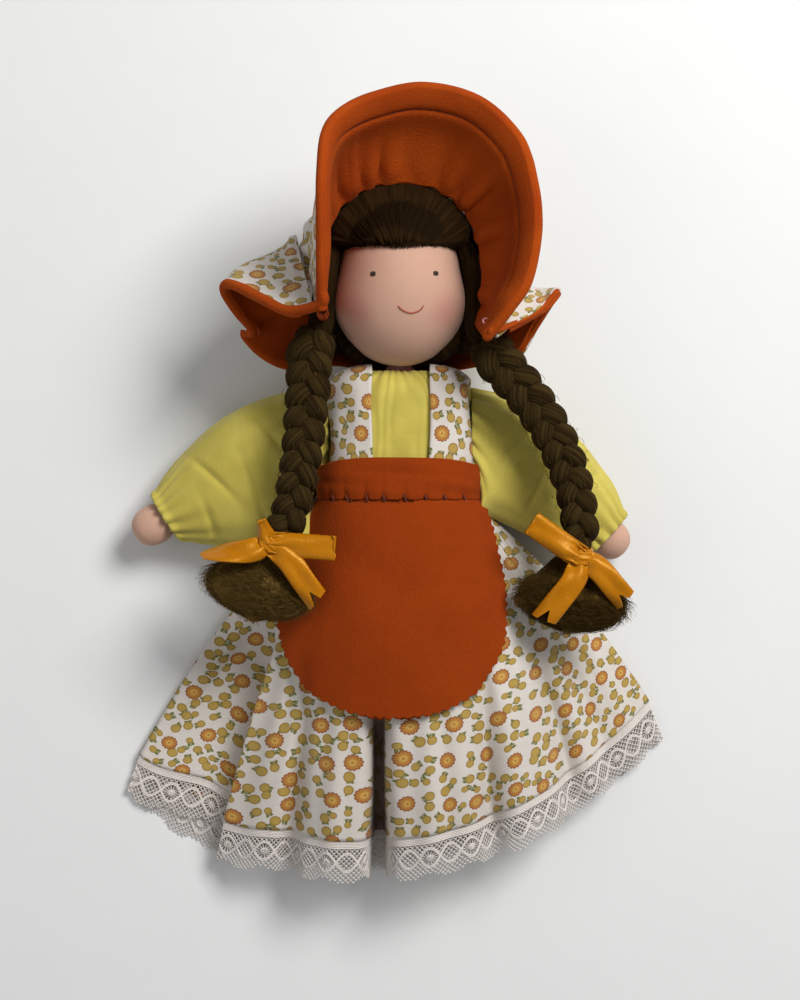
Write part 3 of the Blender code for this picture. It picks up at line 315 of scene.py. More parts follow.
def noiseOf(tree, vector, scale, detail=3.0, roughness=0.5):
    node = put(tree, "ShaderNodeTexNoise")
    feed(tree, node.inputs["Vector"], vector)
    feed(tree, node.inputs["Scale"], scale)
    node.inputs["Detail"].default_value = detail
    node.inputs["Roughness"].default_value = roughness
    return node.outputs["Fac"]


def splitVector(tree, vector):
    node = put(tree, "ShaderNodeSeparateXYZ")
    feed(tree, node.inputs[0], vector)
    return node.outputs


def joinVector(tree, x, y, z=0.0):
    node = put(tree, "ShaderNodeCombineXYZ")
    for k, value in enumerate((x, y, z)):
        feed(tree, node.inputs[k], value)
    return node.outputs[0]


def newGroup(name, inputs, outputs):
    kinds = {"vector": "NodeSocketVector", "value": "NodeSocketFloat", "colour": "NodeSocketColor"}
    group = bpy.data.node_groups.new(name, "ShaderNodeTree")
    for label, kind in inputs:
        group.interface.new_socket(label, in_out="INPUT", socket_type=kinds[kind])
    for label, kind in outputs:
        group.interface.new_socket(label, in_out="OUTPUT", socket_type=kinds[kind])
    return group, put(group, "NodeGroupInput").outputs, put(group, "NodeGroupOutput").inputs


def useGroup(tree, group, values):
    node = put(tree, "ShaderNodeGroup", node_tree=group)
    for label, value in values.items():
        feed(tree, node.inputs[label], value)
    return node.outputs


# Effects that several finishes share
def makeFuzz():
    # wool and lint: coarse mottling times fine fibres; Shade is about 1, Height from 0 to 1
    group, given, made = newGroup("woolFuzz", (("Vector", "vector"), ("Size", "value"), ("Depth", "value")),
                                  (("Shade", "value"), ("Height", "value")))
    scale = over(group, 1.0, given["Size"])
    fine = noiseOf(group, given["Vector"], scale, 4.0, 0.65)
    coarse = noiseOf(group, given["Vector"], times(group, scale, 0.12), 2.0)
    both = plus(group, times(group, fine, 0.65), times(group, coarse, 0.35))
    swing = times(group, minus(group, both, 0.5), given["Depth"])
    feed(group, made["Shade"], plus(group, swing, 1.0))
    feed(group, made["Height"], both)
    return group


def makeWeave():
    # plain weave: product of two sines crossed at right angles, with slubs from a long noise
    group, given, made = newGroup("plainWeave", (("Vector", "vector"), ("Pitch", "value")),
                                  (("Shade", "value"), ("Height", "value")))
    x, y, _ = splitVector(group, given["Vector"])
    per = over(group, math.tau, given["Pitch"])
    warp = calc(group, "SINE", times(group, x, per))
    weft = calc(group, "SINE", times(group, y, per))
    cross = times(group, warp, weft)
    slub = noiseOf(group, joinVector(group, times(group, x, 60.0), times(group, y, 900.0)), 1.0)
    height = plus(group, times(group, cross, 0.5), slub)
    feed(group, made["Height"], height)
    feed(group, made["Shade"], plus(group, times(group, height, 0.10), 0.93))
    return group


def makeFlowers():
    # a common small print: many-petalled flowers and round buds with leaves, in jittered cells
    flowers = {"spacing": 0.0119, "radius": 0.0026, "petals": 13, "jitter": 0.50, "clear": 0.0037,
               "budSpacing": 0.0040, "budRadius": 0.00150, "budJitter": 0.52, "budShift": (3.7, 1.9, 0.0),
               "white": (0.60, 0.545, 0.49, 1), "petal": (0.43, 0.185, 0.034, 1),
               "petalDark": (0.22, 0.060, 0.014, 1), "heart": (0.53, 0.31, 0.062, 1),
               "bud": (0.39, 0.26, 0.055, 1), "budDark": (0.27, 0.16, 0.028, 1),
               "leaf": (0.14, 0.145, 0.035, 1)}
    group, given, made = newGroup("flowerPrint", (("Vector", "vector"),), (("Color", "colour"),))

    def cells(vector, jitter):
        node = put(group, "ShaderNodeTexVoronoi", voronoi_dimensions="2D")
        feed(group, node.inputs["Vector"], vector)
        node.inputs["Scale"].default_value = 1.0
        node.inputs["Randomness"].default_value = jitter
        return node.outputs

    def local(place, found, spacing, turns):
        # place inside a cell, in metres, turned by the cell's own angle
        offset = vectorCalc(group, "SCALE", vectorCalc(group, "SUBTRACT", place, found["Position"]), spacing)
        x, y, _ = splitVector(group, offset)
        angle = plus(group, calc(group, "ARCTAN2", y, x), times(group, turns, math.tau))
        return vectorCalc(group, "LENGTH", offset), angle

    big = vectorCalc(group, "SCALE", given["Vector"], 1.0 / flowers["spacing"])
    found = cells(big, flowers["jitter"])
    chance = put(group, "ShaderNodeSeparateColor")
    feed(group, chance.inputs[0], found["Color"])
    radius, angle = local(big, found, flowers["spacing"], chance.outputs[0])
    wave = calc(group, "ABSOLUTE", calc(group, "COSINE", times(group, angle, flowers["petals"] / 2)))
    lobes = times(group, 0.16, calc(group, "POWER", wave, 0.6))
    size = times(group, flowers["radius"], plus(group, 0.84, lobes))
    share = over(group, radius, size)
    petal = between(group, share, 1.0, 0.93)
    rim = between(group, share, 0.66, 0.96)
    vein = times(group, between(group, wave, 0.45, 0.15), between(group, share, 0.25, 0.45))
    heart = between(group, share, 0.60, 0.25)
    pip = times(group, between(group, share, 0.17, 0.10), 0.7)
    flower = blendColours(group, rim, flowers["petal"], flowers["petalDark"])
    flower = blendColours(group, times(group, vein, 0.75), flower, flowers["petalDark"])
    flower = blendColours(group, heart, flower, flowers["heart"])
    flower = blendColours(group, pip, flower, flowers["petalDark"])

    small = vectorCalc(group, "SCALE", given["Vector"], 1.0 / flowers["budSpacing"])
    small = vectorCalc(group, "ADD", small, flowers["budShift"])
    bud = cells(small, flowers["budJitter"])
    budChance = put(group, "ShaderNodeSeparateColor")
    feed(group, budChance.inputs[0], bud["Color"])
    budRadius, budAngle = local(small, bud, flowers["budSpacing"], budChance.outputs[1])
    home = vectorCalc(group, "SUBTRACT", bud["Position"], flowers["budShift"])
    home = vectorCalc(group, "SCALE", home, flowers["budSpacing"] / flowers["spacing"])
    away = times(group, cells(home, flowers["jitter"])["Distance"], flowers["spacing"])
    room = calc(group, "GREATER_THAN", away, flowers["clear"])
    growth = plus(group, 0.72, times(group, 0.45, budChance.outputs[0]))
    budSize = times(group, flowers["budRadius"], growth)
    budShare = over(group, budRadius, budSize)
    ball = times(group, between(group, budShare, 1.0, 0.90), room)
    ballRim = between(group, budShare, 0.62, 0.85)
    x = times(group, budRadius, calc(group, "COSINE", budAngle))
    y = times(group, budRadius, calc(group, "SINE", budAngle))
    level = calc(group, "ABSOLUTE", y)
    farX = over(group, minus(group, minus(group, x, level), 0.0008), 0.0010)
    farY = over(group, minus(group, level, 0.00055), 0.00055)
    leafDistance = calc(group, "SQRT", plus(group, times(group, farX, farX), times(group, farY, farY)))
    stem = times(group, between(group, level, 0.00024, 0.00012),
                times(group, between(group, x, 0.0014, 0.0016), between(group, x, 0.0025, 0.0021)))
    leaf = times(group, calc(group, "MAXIMUM", between(group, leafDistance, 1.0, 0.85), stem), room)
    ground = blendColours(group, leaf, flowers["white"], flowers["leaf"])
    budColour = blendColours(group, ballRim, flowers["bud"], flowers["budDark"])
    ground = blendColours(group, ball, ground, budColour)
    feed(group, made["Color"], blendColours(group, petal, ground, flower))
    return group


woolFuzz = makeFuzz()
plainWeave = makeWeave()
flowerPrint = makeFlowers()


def newFinish(name, roughness, sheen=0.0, sheenRoughness=0.5, sheenTint=(1, 1, 1, 1), gloss=0.3):
    # a material with its shader's even values set, returned with its tree and shader
    material = bpy.data.materials.new(name)
    material.use_nodes = True
    tree = material.node_tree
    shader = tree.nodes["Principled BSDF"]
    shader.inputs["Roughness"].default_value = roughness
    shader.inputs["Sheen Weight"].default_value = sheen
    shader.inputs["Sheen Roughness"].default_value = sheenRoughness
    shader.inputs["Sheen Tint"].default_value = sheenTint
    shader.inputs["Specular IOR Level"].default_value = gloss
    return material, tree, shader


def raiseSurface(tree, shader, height, distance, strength=1.0):
    node = put(tree, "ShaderNodeBump")
    node.inputs["Strength"].default_value = strength
    node.inputs["Distance"].default_value = distance
    feed(tree, node.inputs["Height"], height)
    tree.links.new(node.outputs["Normal"], shader.inputs["Normal"])


def cutPlace(tree):
    return put(tree, "ShaderNodeUVMap", uv_map="cut").outputs[0]


def objectPlace(tree):
    return put(tree, "ShaderNodeTexCoord").outputs["Object"]


def shaded(tree, colour, *shades):
    # the colour times each shade
    total = shades[0]
    for shade in shades[1:]:
        total = times(tree, total, shade)
    return blendColours(tree, 1.0, colour, joinVector(tree, total, total, total), "MULTIPLY")


def feltFinish(name, light, dark):
    material, tree, shader = newFinish(name, 0.95, 0.05, 0.5, (1.0, 0.30, 0.08, 1), 0.12)
    place = objectPlace(tree)
    fuzz = useGroup(tree, woolFuzz, {"Vector": place, "Size": 0.0008, "Depth": 0.50})
    soft = noiseOf(tree, place, 45.0, 2.0)
    colour = blendColours(tree, between(tree, soft, 0.25, 0.80), dark, light)
    feed(tree, shader.inputs["Base Color"], shaded(tree, colour, fuzz["Shade"]))
    raiseSurface(tree, shader, fuzz["Height"], 0.0005, 0.7)
    return material


def cottonFinish(name, light, dark):
    material, tree, shader = newFinish(name, 0.78, 0.15)
    place = cutPlace(tree)
    weave = useGroup(tree, plainWeave, {"Vector": place, "Pitch": 0.00075})
    cloud = noiseOf(tree, objectPlace(tree), 70.0, 2.0)
    colour = blendColours(tree, between(tree, cloud, 0.3, 0.7), dark, light)
    feed(tree, shader.inputs["Base Color"], shaded(tree, colour, weave["Shade"]))
    raiseSurface(tree, shader, weave["Height"], 0.00012, 0.6)
    return material


def printFinish(name):
    # flowered cotton; the crease attribute, where a piece has it, paints shade into the inside of a pleat
    material, tree, shader = newFinish(name, 0.80, 0.12)
    place = cutPlace(tree)
    weave = useGroup(tree, plainWeave, {"Vector": place, "Pitch": 0.00075})
    fuzz = useGroup(tree, woolFuzz, {"Vector": objectPlace(tree), "Size": 0.004, "Depth": 0.16})
    inks = useGroup(tree, flowerPrint, {"Vector": place})
    colour = shaded(tree, inks["Color"], weave["Shade"], fuzz["Shade"])
    crease = put(tree, "ShaderNodeAttribute", attribute_name="crease").outputs["Fac"]
    # painted shade: the crease attribute mixes the pleat's inside towards a dark brown painted shadow
    feed(tree, shader.inputs["Base Color"], blendColours(tree, crease, colour, (0.105, 0.048, 0.020, 1)))
    raiseSurface(tree, shader, weave["Height"], 0.00012, 0.6)
    return material


def skinFinish(name, cheeks=()):
    # knit cloth: fine upright ribs, with a rosy patch round each cheek
    material, tree, shader = newFinish(name, 0.78, 0.10, 0.4, (1.0, 0.85, 0.75, 1))
    shader.inputs["Subsurface Weight"].default_value = 0.12
    shader.inputs["Subsurface Radius"].default_value = (0.004, 0.002, 0.001)
    place = objectPlace(tree)
    x, y, z = splitVector(tree, place)
    rib = calc(tree, "SINE", times(tree, x, math.tau / 0.00075))
    stitch = calc(tree, "SINE", times(tree, y, math.tau / 0.00095))
    knit = plus(tree, rib, times(tree, stitch, 0.15))
    fuzz = useGroup(tree, woolFuzz, {"Vector": place, "Size": 0.0025, "Depth": 0.10})
    colour = (0.53, 0.315, 0.225, 1)
    for cheek in cheeks:
        away = vectorCalc(tree, "DISTANCE", place, tuple(cheek))
        rosy = between(tree, away, 0.0085, 0.0010, 0.0, 0.50)
        colour = blendColours(tree, rosy, colour, (0.47, 0.17, 0.15, 1))
    ribs = plus(tree, times(tree, knit, 0.007), 1.0)
    feed(tree, shader.inputs["Base Color"], shaded(tree, colour, fuzz["Shade"], ribs))
    raiseSurface(tree, shader, knit, 0.00002, 0.35)
    return material


def woolFinish(name, light, dark, streak=0.00045):
    # hair wool: streaks along the strand, broken by fuzz
    material, tree, shader = newFinish(name, 0.95, 0.02, 0.45, (0.8, 0.6, 0.3, 1), 0.05)
    x, y, _ = splitVector(tree, cutPlace(tree))
    strands = joinVector(tree, over(tree, x, streak), over(tree, y, streak * 12.0))
    lines = noiseOf(tree, strands, 1.0, 3.0, 0.6)
    fuzz = useGroup(tree, woolFuzz, {"Vector": objectPlace(tree), "Size": 0.0012, "Depth": 0.7})
    colour = blendColours(tree, between(tree, lines, 0.35, 0.68), dark, light)
    feed(tree, shader.inputs["Base Color"], shaded(tree, colour, fuzz["Shade"]))
    height = plus(tree, lines, times(tree, fuzz["Height"], 0.6))
    raiseSurface(tree, shader, height, 0.0009, 0.9)
    return material


def satinFinish(name, light, dark):
    # fine crosswise threads under a gloss
    material, tree, shader = newFinish(name, 0.29, gloss=0.6)
    shader.inputs["Anisotropic"].default_value = 0.5
    shader.inputs["Specular Tint"].default_value = (1.0, 0.62, 0.18, 1)
    x, y, _ = splitVector(tree, cutPlace(tree))
    threads = joinVector(tree, times(tree, x, 300.0), times(tree, y, 5000.0))
    lines = noiseOf(tree, threads, 1.0, 2.0)
    colour = blendColours(tree, lines, dark, light)
    feed(tree, shader.inputs["Base Color"], colour)
    raiseSurface(tree, shader, lines, 0.00012, 0.7)
    return material


def threadFinish(name, colour):
    material, tree, shader = newFinish(name, 0.8, 0.2)
    fuzz = useGroup(tree, woolFuzz, {"Vector": objectPlace(tree), "Size": 0.0006, "Depth": 0.5})
    feed(tree, shader.inputs["Base Color"], shaded(tree, colour, fuzz["Shade"]))
    raiseSurface(tree, shader, fuzz["Height"], 0.0002, 0.6)
    return material


cheekPlaces = [dollShift + (side * 0.0142 + 0.0005, 0.0540, 0.0440) for side in (-1, 1)]
finishes = {
    # painted light: bonnet and apron are the same orange felt; the bonnet's copy is painted lighter than the apron's,
    # standing in for light on the brim
    "felt": feltFinish("bonnetFeltPaintedLighter", (0.36, 0.056, 0.003, 1), (0.27, 0.034, 0.0015, 1)),
    "apronFelt": feltFinish("apronFelt", (0.26, 0.035, 0.0014, 1), (0.235, 0.030, 0.0011, 1)),
    "lemon": cottonFinish("lemonCotton", (0.57, 0.475, 0.085, 1), (0.46, 0.375, 0.058, 1)),
    "print": printFinish("flowerCotton"),
    "skin": skinFinish("knitSkin"),
    "face": skinFinish("knitFace", cheekPlaces),
    "hair": woolFinish("brownWool", (0.024, 0.0115, 0.0028, 1), (0.012, 0.0055, 0.0012, 1), 0.0012),
    "plait": woolFinish("plaitWool", (0.044, 0.027, 0.0072, 1), (0.017, 0.009, 0.0025, 1), 0.0009),
    "tuft": woolFinish("looseWool", (0.200, 0.120, 0.030, 1), (0.080, 0.046, 0.011, 1), 0.0008),
    "darkTuft": woolFinish("looseDarkWool", (0.105, 0.058, 0.012, 1), (0.034, 0.018, 0.004, 1), 0.0008),
    "satin": satinFinish("goldSatin", (0.56, 0.205, 0.003, 1), (0.27, 0.080, 0.001, 1)),
    "lace": threadFinish("laceThread", (0.66, 0.60, 0.55, 1)),
    "stitch": threadFinish("orangeThread", (0.11, 0.012, 0.002, 1)),
    "pink": threadFinish("pinkThread", (0.75, 0.30, 0.28, 1)),
    "dark": threadFinish("darkThread", (0.035, 0.018, 0.012, 1)),
    "mouth": threadFinish("mouthThread", (0.36, 0.085, 0.045, 1)),
}


def dress(piece, finish, bodyName, slot, *nodes):
    # gives a piece its finish, its body and the nodes that it stands for
    piece.data.materials.clear()
    piece.data.materials.append(finishes[finish])
    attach(piece, bodyName)
    if nodes:
        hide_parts(*nodes)
    return piece


print("finishes ready:", len(finishes))


# Body form that the clothes follow
def bodyRing(turn, y, outside):
    # superellipse round the body: half width and half depth shrink towards neck and seat
    top = body["top"] + outside
    neck = body["neckWidth"] / 2 + outside
    halfWidth = body["width"] / 2 + outside
    halfDepth = body["depth"] / 2 + outside
    rise = np.clip((y - body["shoulder"]) / (top - body["shoulder"]), 0.0, 1.0)
    shoulder = (1.0 - rise ** 2.5) ** 0.4
    sink = np.clip((body["hip"] - y) / (body["hip"] - body["bottom"]), 0.0, 1.0)
    seat = (1.0 - sink ** 2.2) ** 0.4545
    width = (neck + (halfWidth - neck) * shoulder) * seat
    depth = (neck + (halfDepth - neck) * shoulder) * seat
    power = 2.0 / body["roundness"]
    x = width * signedPower(np.cos(turn), power)
    z = body["height"] + depth * signedPower(np.sin(turn), power)
    return np.stack((x, y + np.zeros_like(x), z), axis=-1)


def makeBodice():
    # lemon blouse: the body ring let out by fine gathers that fade down from the neck
    bodice = {"bottom": -0.0020, "columns": 280, "rows": 44, "gathers": 46, "gatherDepth": 0.00042,
              "flat": (0.15, 0.045)}
    outside = cloth["gap"] + cloth["cotton"] / 2
    turn = ringTurns(bodice["columns"])
    share = np.linspace(0.0, 1.0, bodice["rows"])
    heights = bodice["bottom"] + (body["top"] + outside - bodice["bottom"]) * np.sin(share * math.pi / 2)
    angle, y = np.meshgrid(turn, heights, indexing="xy")
    rise = (y - bodice["bottom"]) / (body["top"] - bodice["bottom"])
    uneven = ripple(angle / math.tau, rise * 0.15, 11, 5, 14)
    fold = np.sin(angle * bodice["gathers"] + 5.0 * uneven) * 0.6 + uneven * 0.8
    grid = bodyRing(angle, y, outside + 0.0004 + bodice["gatherDepth"] * fold * (0.45 + 0.55 * rise ** 3))
    piece = clothPiece("blouseBody", grid, cloth["cotton"], wrap=True)
    return dress(piece, "lemon", "torso", "yellow_cotton", "blouse_bodice")


def makeStraps():
    # flowered straps up the front, over the shoulder and down the back
    strap = {"width": 0.0122, "inset": 0.0146, "bottom": 0.0092, "flat": (0.0125, 0.095)}
    outside = cloth["gap"] + cloth["cotton"] + cloth["gap"] * 3 + cloth["cotton"] / 2 + 0.0004
    neck = body["neckWidth"] / 2 + outside
    halfWidth, halfDepth = body["width"] / 2 + outside, body["depth"] / 2 + outside
    top = body["top"] + outside
    for sideName, side in (("right", -1.0), ("left", 1.0)):
        share, across = np.meshgrid(np.linspace(0.0, 1.0, 90), np.linspace(-0.5, 0.5, 16), indexing="ij")
        x = across * strap["width"] + strap["inset"] + 0.0006 * ripple(share, across * 0.2, int(5 + side))
        reach = np.clip((x - neck) / (halfWidth - neck), 0.0, 1.0)
        ridge = body["shoulder"] + (top - body["shoulder"]) * (1.0 - reach ** 2.5) ** 0.4
        y = strap["bottom"] + (ridge - strap["bottom"]) * np.sin(share * math.pi)
        rise = np.clip((y - body["shoulder"]) / (top - body["shoulder"]), 0.0, 1.0)
        shoulder = (1.0 - rise ** 2.5) ** 0.4
        width = neck + (halfWidth - neck) * shoulder
        depth = neck + (halfDepth - neck) * shoulder
        hold = np.clip(1.0 - (x / np.maximum(width, x)) ** body["roundness"], 0.0, 1.0)
        lift = depth * hold ** (1.0 / body["roundness"]) + 0.0003 * ripple(share * 2, across, int(9 + side))
        z = body["height"] + np.where(share < 0.5, lift, -lift)
        z = np.minimum(z, body["height"] + halfDepth + 0.0003)
        piece = clothPiece("strap" + sideName.title(), np.stack((x * side, y, z), axis=-1), cloth["cotton"])
        dress(piece, "print", "torso", "print_cotton", "strap_" + sideName)


# Skirt, spread on the ground in a fan, measured from the waist
skirt = {"centre": (-0.0015, 0.0058), "top": 0.0090, "waist": -0.0006, "length": 0.1070,
         "left": math.radians(49.0), "right": math.radians(43.0), "bulge": 0.0060, "belly": 0.0068,
         "rise": 0.0270, "sideRise": 0.0018, "pleat": 0.0170, "lips": 0.45, "flat": (0.40, 0.115),
         "area": 0.0300, "flap": -26.0, "flapDrop": 0.0120, "front": 260, "back": 90,
         "reachShares": (1.08, 1.08, 1.03, 1.0, 0.975, 0.962, 0.96, 0.965),
         "heightShares": (0.05, 0.10, 0.16, 0.42, 0.70, 0.88, 0.97, 1.0, 0.98, 0.88, 0.70, 0.46, 0.24, 0.09),
         "folds": ((-2.6, 1.85, 0.80), (-37.0, 2.2, 0.10), (-16.3, 1.9, 0.34), (-10.0, 2.6, -0.12),
                   (-21.0, 2.6, -0.10), (5.5, 3.0, -0.12), (16.0, 2.0, 0.36), (22.5, 2.8, -0.10),
                   (30.5, 2.2, 0.36), (38.5, 2.4, 0.18))}  # degrees, half width, depth; the first is the pleat


def pleatShare(degrees, share):
    # how far a point lies down in the deep pleat, from 0 to about 1: bell across, two steps down
    middle, half, amount = skirt["folds"][0]
    deep = smoothStep((share - 0.50) / 0.20) + 0.50 * smoothStep((share - 0.87) / 0.10)
    return amount * np.minimum(1.0, 1.25 * bump(degrees, middle, half)) * deep


def skirtPoint(angle, share, front, detail=1.0):
    # fan: waist ring to hem arc in straight lines, raised by the belly, lowered by the folds
    spread = skirt["left"] + skirt["right"]
    across = (angle + skirt["right"]) / spread
    outside = cloth["gap"] + cloth["cotton"] + cloth["gap"] + cloth["skirt"] / 2
    turn = math.pi * (1.0 - across) * (1.0 if front else -1.0)
    waist = bodyRing(turn, skirt["waist"] + np.zeros_like(angle), outside)
    reach = skirt["length"] * acrossTable(across, skirt["reachShares"])
    place = np.degrees(angle) - skirt["flap"]
    behind = smoothStep(-0.8 - place) * smoothStep((place + 17.0) / 13.0)
    reach = reach * (1.0 + (0.02 * bump(place, 0.5, 4.0) - 0.065 * behind) * (front and detail > 0))
    run = np.clip(share, 0.0, 1.0)
    fromPleat = np.degrees(angle) - skirt["folds"][0][0]
    away = np.abs(fromPleat)
    slide = (1.9 * bump(place, -2.1, 1.8) - 1.2 * bump(place, 0.5, 1.8)) * smoothStep((run - 0.30) / 0.35)
    lips = np.sign(fromPleat) * smoothStep(away - 1.0) * smoothStep((5.0 - away) / 2.5)
    slide = slide - skirt["lips"] * lips * smoothStep((run - 0.50) / 0.20)
    slide = slide * (front and detail > 0)
    hemX = skirt["centre"][0] + reach * np.sin(angle + np.radians(slide))
    hemY = skirt["centre"][1] - reach * np.cos(angle + np.radians(slide))
    x = waist[..., 0] + (hemX - waist[..., 0]) * share
    x = x + skirt["bulge"] * np.sin(math.pi * run) * np.sin(angle)
    y = waist[..., 1] + (hemY - waist[..., 1]) * share
    side = np.abs(2.0 * across - 1.0)
    if not front:
        settle = smoothStep(share / 0.16)
        z = waist[..., 2] + (cloth["skirt"] / 2 - waist[..., 2]) * settle
        z = z + skirt["sideRise"] * np.clip((side - 0.94) / 0.06, 0.0, 1.0) * settle
        return np.stack((x, y, z), axis=-1)
    hemZ = skirt["sideRise"] + skirt["rise"] * acrossTable(across, skirt["heightShares"])
    ease = 1.0 - (1.0 - run) ** (1.0 + 1.6 * side ** 2)
    z = waist[..., 2] + (hemZ - waist[..., 2]) * ease
    z = z + skirt["belly"] * np.sin(math.pi * run) * (1.0 - side ** 2)
    degrees = np.degrees(angle)
    z = z - skirt["pleat"] * pleatShare(degrees, share) * (detail > 0)
    depth = sum(amount * bump(degrees, middle, half) for middle, half, amount in skirt["folds"][1:])
    begin = 0.54 - 0.24 * smoothStep((np.abs(degrees) - 12.0) / 12.0)
    z = z - skirt["pleat"] * depth * smoothStep((share - begin) / 0.46)
    flap = smoothStep((skirt["flap"] - degrees) / 1.5)
    flap = flap * smoothStep((degrees + math.degrees(skirt["right"])) / 13.0)
    z = z - skirt["flapDrop"] * flap * smoothStep((share - 0.30) / 0.30)
    covered = bump(degrees, -1.0, 26.0) * smoothStep((0.62 - share) / 0.1)
    detail = detail * (1.0 - 0.7 * covered) * (1.0 - side ** 6)
    gathers = np.sin(degrees * 1.3 + 2.0 * ripple(across, 0.0 * across, 3, 1, 4))
    tight = np.sin(degrees * 3.4 + 3.0 * ripple(across, 0.0 * across, 4, 2, 6))
    fine = 0.0008 * gathers * (1.0 - 0.7 * run) + 0.0006 * tight * (1.0 - run) ** 4
    z = z + fine * smoothStep(share / 0.12) * detail
    z = z + 0.0013 * ripple(across * 1.2, share * 0.8, 21, 1.0, 2.6) * smoothStep(share / 0.3) * detail
    return np.stack((x, y, np.maximum(z, cloth["skirt"] / 2 + skirt["sideRise"])), axis=-1)


def crowdedAngles(count):
    # angles across the fan, closer together at the folds: equal steps of a running sum of weights
    fine = np.linspace(-skirt["right"], skirt["left"], 900)
    weight = np.ones_like(fine)
    weight += 3.0 * bump(np.degrees(fine), skirt["flap"] - 0.9, 1.4)
    for middle, half, amount in skirt["folds"]:
        weight += (0.6 + 2.4 * max(amount, 0.0)) * bump(np.degrees(fine), middle, half * 1.6)
    total = np.concatenate(((0.0,), np.cumsum((weight[1:] + weight[:-1]) / 2)))
    return np.interp(np.linspace(0.0, total[-1], count), total, fine)


def skirtLoop(shares, frontCount, backCount):
    angles = crowdedAngles(frontCount)
    spread = np.linspace(skirt["left"], -skirt["right"], backCount + 2)[1:-1]
    down, over = np.meshgrid(shares, angles, indexing="ij")
    downBack, under = np.meshgrid(shares, spread, indexing="ij")
    return np.concatenate((skirtPoint(over, down, True), skirtPoint(under, downBack, False)), axis=1)


def makeSkirt():
    # the loops from waist to hem, with a collar of rings that carries the waist up under the band
    front, back = skirt["front"], skirt["back"]
    shares = np.linspace(0.0, 1.0, 90) ** 1.1
    loop = skirtLoop(shares, front, back)
    collar = np.repeat(loop[:1], 6, axis=0)
    collar[..., 1] += np.linspace(skirt["top"] - skirt["waist"], 0.0, 7)[:6, None]
    grid = np.concatenate((collar, loop[1:]), axis=0)
    down = 0.006 + lengthAlong(grid, 0)[:, 60:200].mean(axis=1)[:, None]
    behind = np.linspace(skirt["left"], -skirt["right"], back + 2)[1:-1]
    around = np.concatenate((crowdedAngles(front), -2 * skirt["right"] - behind))
    around = np.append(around, around[0])
    cut = np.stack((down * np.sin(around), -down * np.cos(around)), axis=2)
    piece = clothPiece("skirtCloth", grid, cloth["skirt"], wrap=True, cut=cut)
    # painted shade: the crease attribute marks the inside of the deep pleat, which the print finish darkens as a
    # painted shadow
    shares = np.append(np.zeros(6), shares[1:])
    down = pleatShare(np.degrees(around[:-1])[None], shares[:, None])
    crease = smoothStep((down - 0.22) / 0.5) * (np.arange(front + back) < front) * 0.86
    piece.data.attributes.new("crease", "FLOAT", "POINT").data.foreach_set("value", crease.ravel())
    return dress(piece, "print", "torso", "print_cotton", "skirt")


makeBodice()
makeStraps()
makeSkirt()
print("blouse, straps and skirt made")


# Bonnet
# turns in degrees, edge points as shares of the span from the head's middle, hem points in mm
bonnet = {"span": 0.1000, "halfWidth": 0.0246, "top": 0.0276, "bottom": 0.0200, "height": 0.0375,
          "nape": 0.0070, "seam": 0.0012, "bulge": 0.0026, "flare": 0.0024, "gathers": 16,
          "gatherDepth": 0.0011, "frillBulge": 0.0048,
          "creases": ((0.23, 0.010, 0.55, 1.6), (0.33, 0.011, 0.60, 1.8), (0.62, 0.010, 0.45, 1.2)),
          "brimEdge": ((0.243, -0.185, 0.335), (0.305, -0.114, 0.375), (0.359, -0.033, 0.395),
                       (0.386, 0.119, 0.395), (0.373, 0.260, 0.365), (0.335, 0.378, 0.335),
                       (0.224, 0.486, 0.315), (0.070, 0.525, 0.315), (-0.070, 0.495, 0.335),
                       (-0.160, 0.445, 0.375), (-0.206, 0.378, 0.415), (-0.218, 0.260, 0.455),
                       (-0.219, 0.137, 0.465), (-0.219, 0.000, 0.425), (-0.216, -0.112, 0.375)),
          "frillHem": ((-24.4, 53.8, 63.6), (-30.6, 52.4, 60.0), (-40.6, 57.4, 53.0), (-48.6, 61.8, 46.0),
                       (-51.0, 60.4, 40.0), (-46.6, 53.6, 35.6), (-42.4, 49.0, 32.4), (-46.4, 49.6, 27.0),
                       (-41.5, 43.8, 25.0), (-33.5, 39.8, 24.6), (-26.0, 40.6, 19.6), (-18.0, 42.0, 12.6),
                       (0.0, 40.2, 4.2), (18.0, 40.8, 12.6), (33.6, 42.0, 27.0), (40.2, 51.4, 31.0),
                       (45.9, 60.8, 39.6), (41.2, 55.3, 45.6), (33.6, 50.0, 53.0), (27.0, 46.4, 58.6)),
          "frillTurn": (157, 160, 163, 167, 172, 180, 188, 196, 206, 214, 224, 236, 270, 304, 326, 342, 354,
                        361, 368, 374),
          "seamTurns": (150, 164, 181, 198, 215, 233, 250, 290, 301, 318, 335, 353, 370, 374),
          "seamShares": (0.76, 0.76, 0.80, 0.87, 0.94, 0.98, 0.99, 0.99, 0.98, 0.94, 0.87, 0.80, 0.76, 0.76)}


def bonnetRim(angle):
    # horseshoe where crown, brim and frill meet, drawn back to the nape below
    rise, side = np.sin(angle), np.cos(angle)
    x = bonnet["halfWidth"] * signedPower(side, 0.8)
    y = headPlace[1] + np.where(rise > 0.0, bonnet["top"], bonnet["bottom"]) * rise
    z = bonnet["height"] + (bonnet["nape"] - bonnet["height"]) * smoothStep(-rise)
    return np.stack((x, y, z), axis=-1)


def crownPoint(angle, share):
    # puffed crown: out from the ground behind the head and in again to the rim
    rim = bonnetRim(angle)
    side = np.clip(-np.cos(angle), 0.0, 1.0) ** 2 * smoothStep((np.sin(angle) + 0.5) / 0.5)
    full = 0.5 + 0.10 * (1.0 + np.sin(angle)) + 0.08 * side
    out = np.sin(math.pi * full * share) / np.sin(math.pi * full)
    up = (1.0 - np.cos(0.75 * math.pi * share)) / (1.0 - math.cos(0.75 * math.pi))
    centre = np.array((headPlace[0], headPlace[1], 0.0))
    point = centre + (rim - centre) * np.stack((out, out, up), axis=-1)
    point[..., 2] = np.maximum(point[..., 2], cloth["cotton"] / 2)
    return point


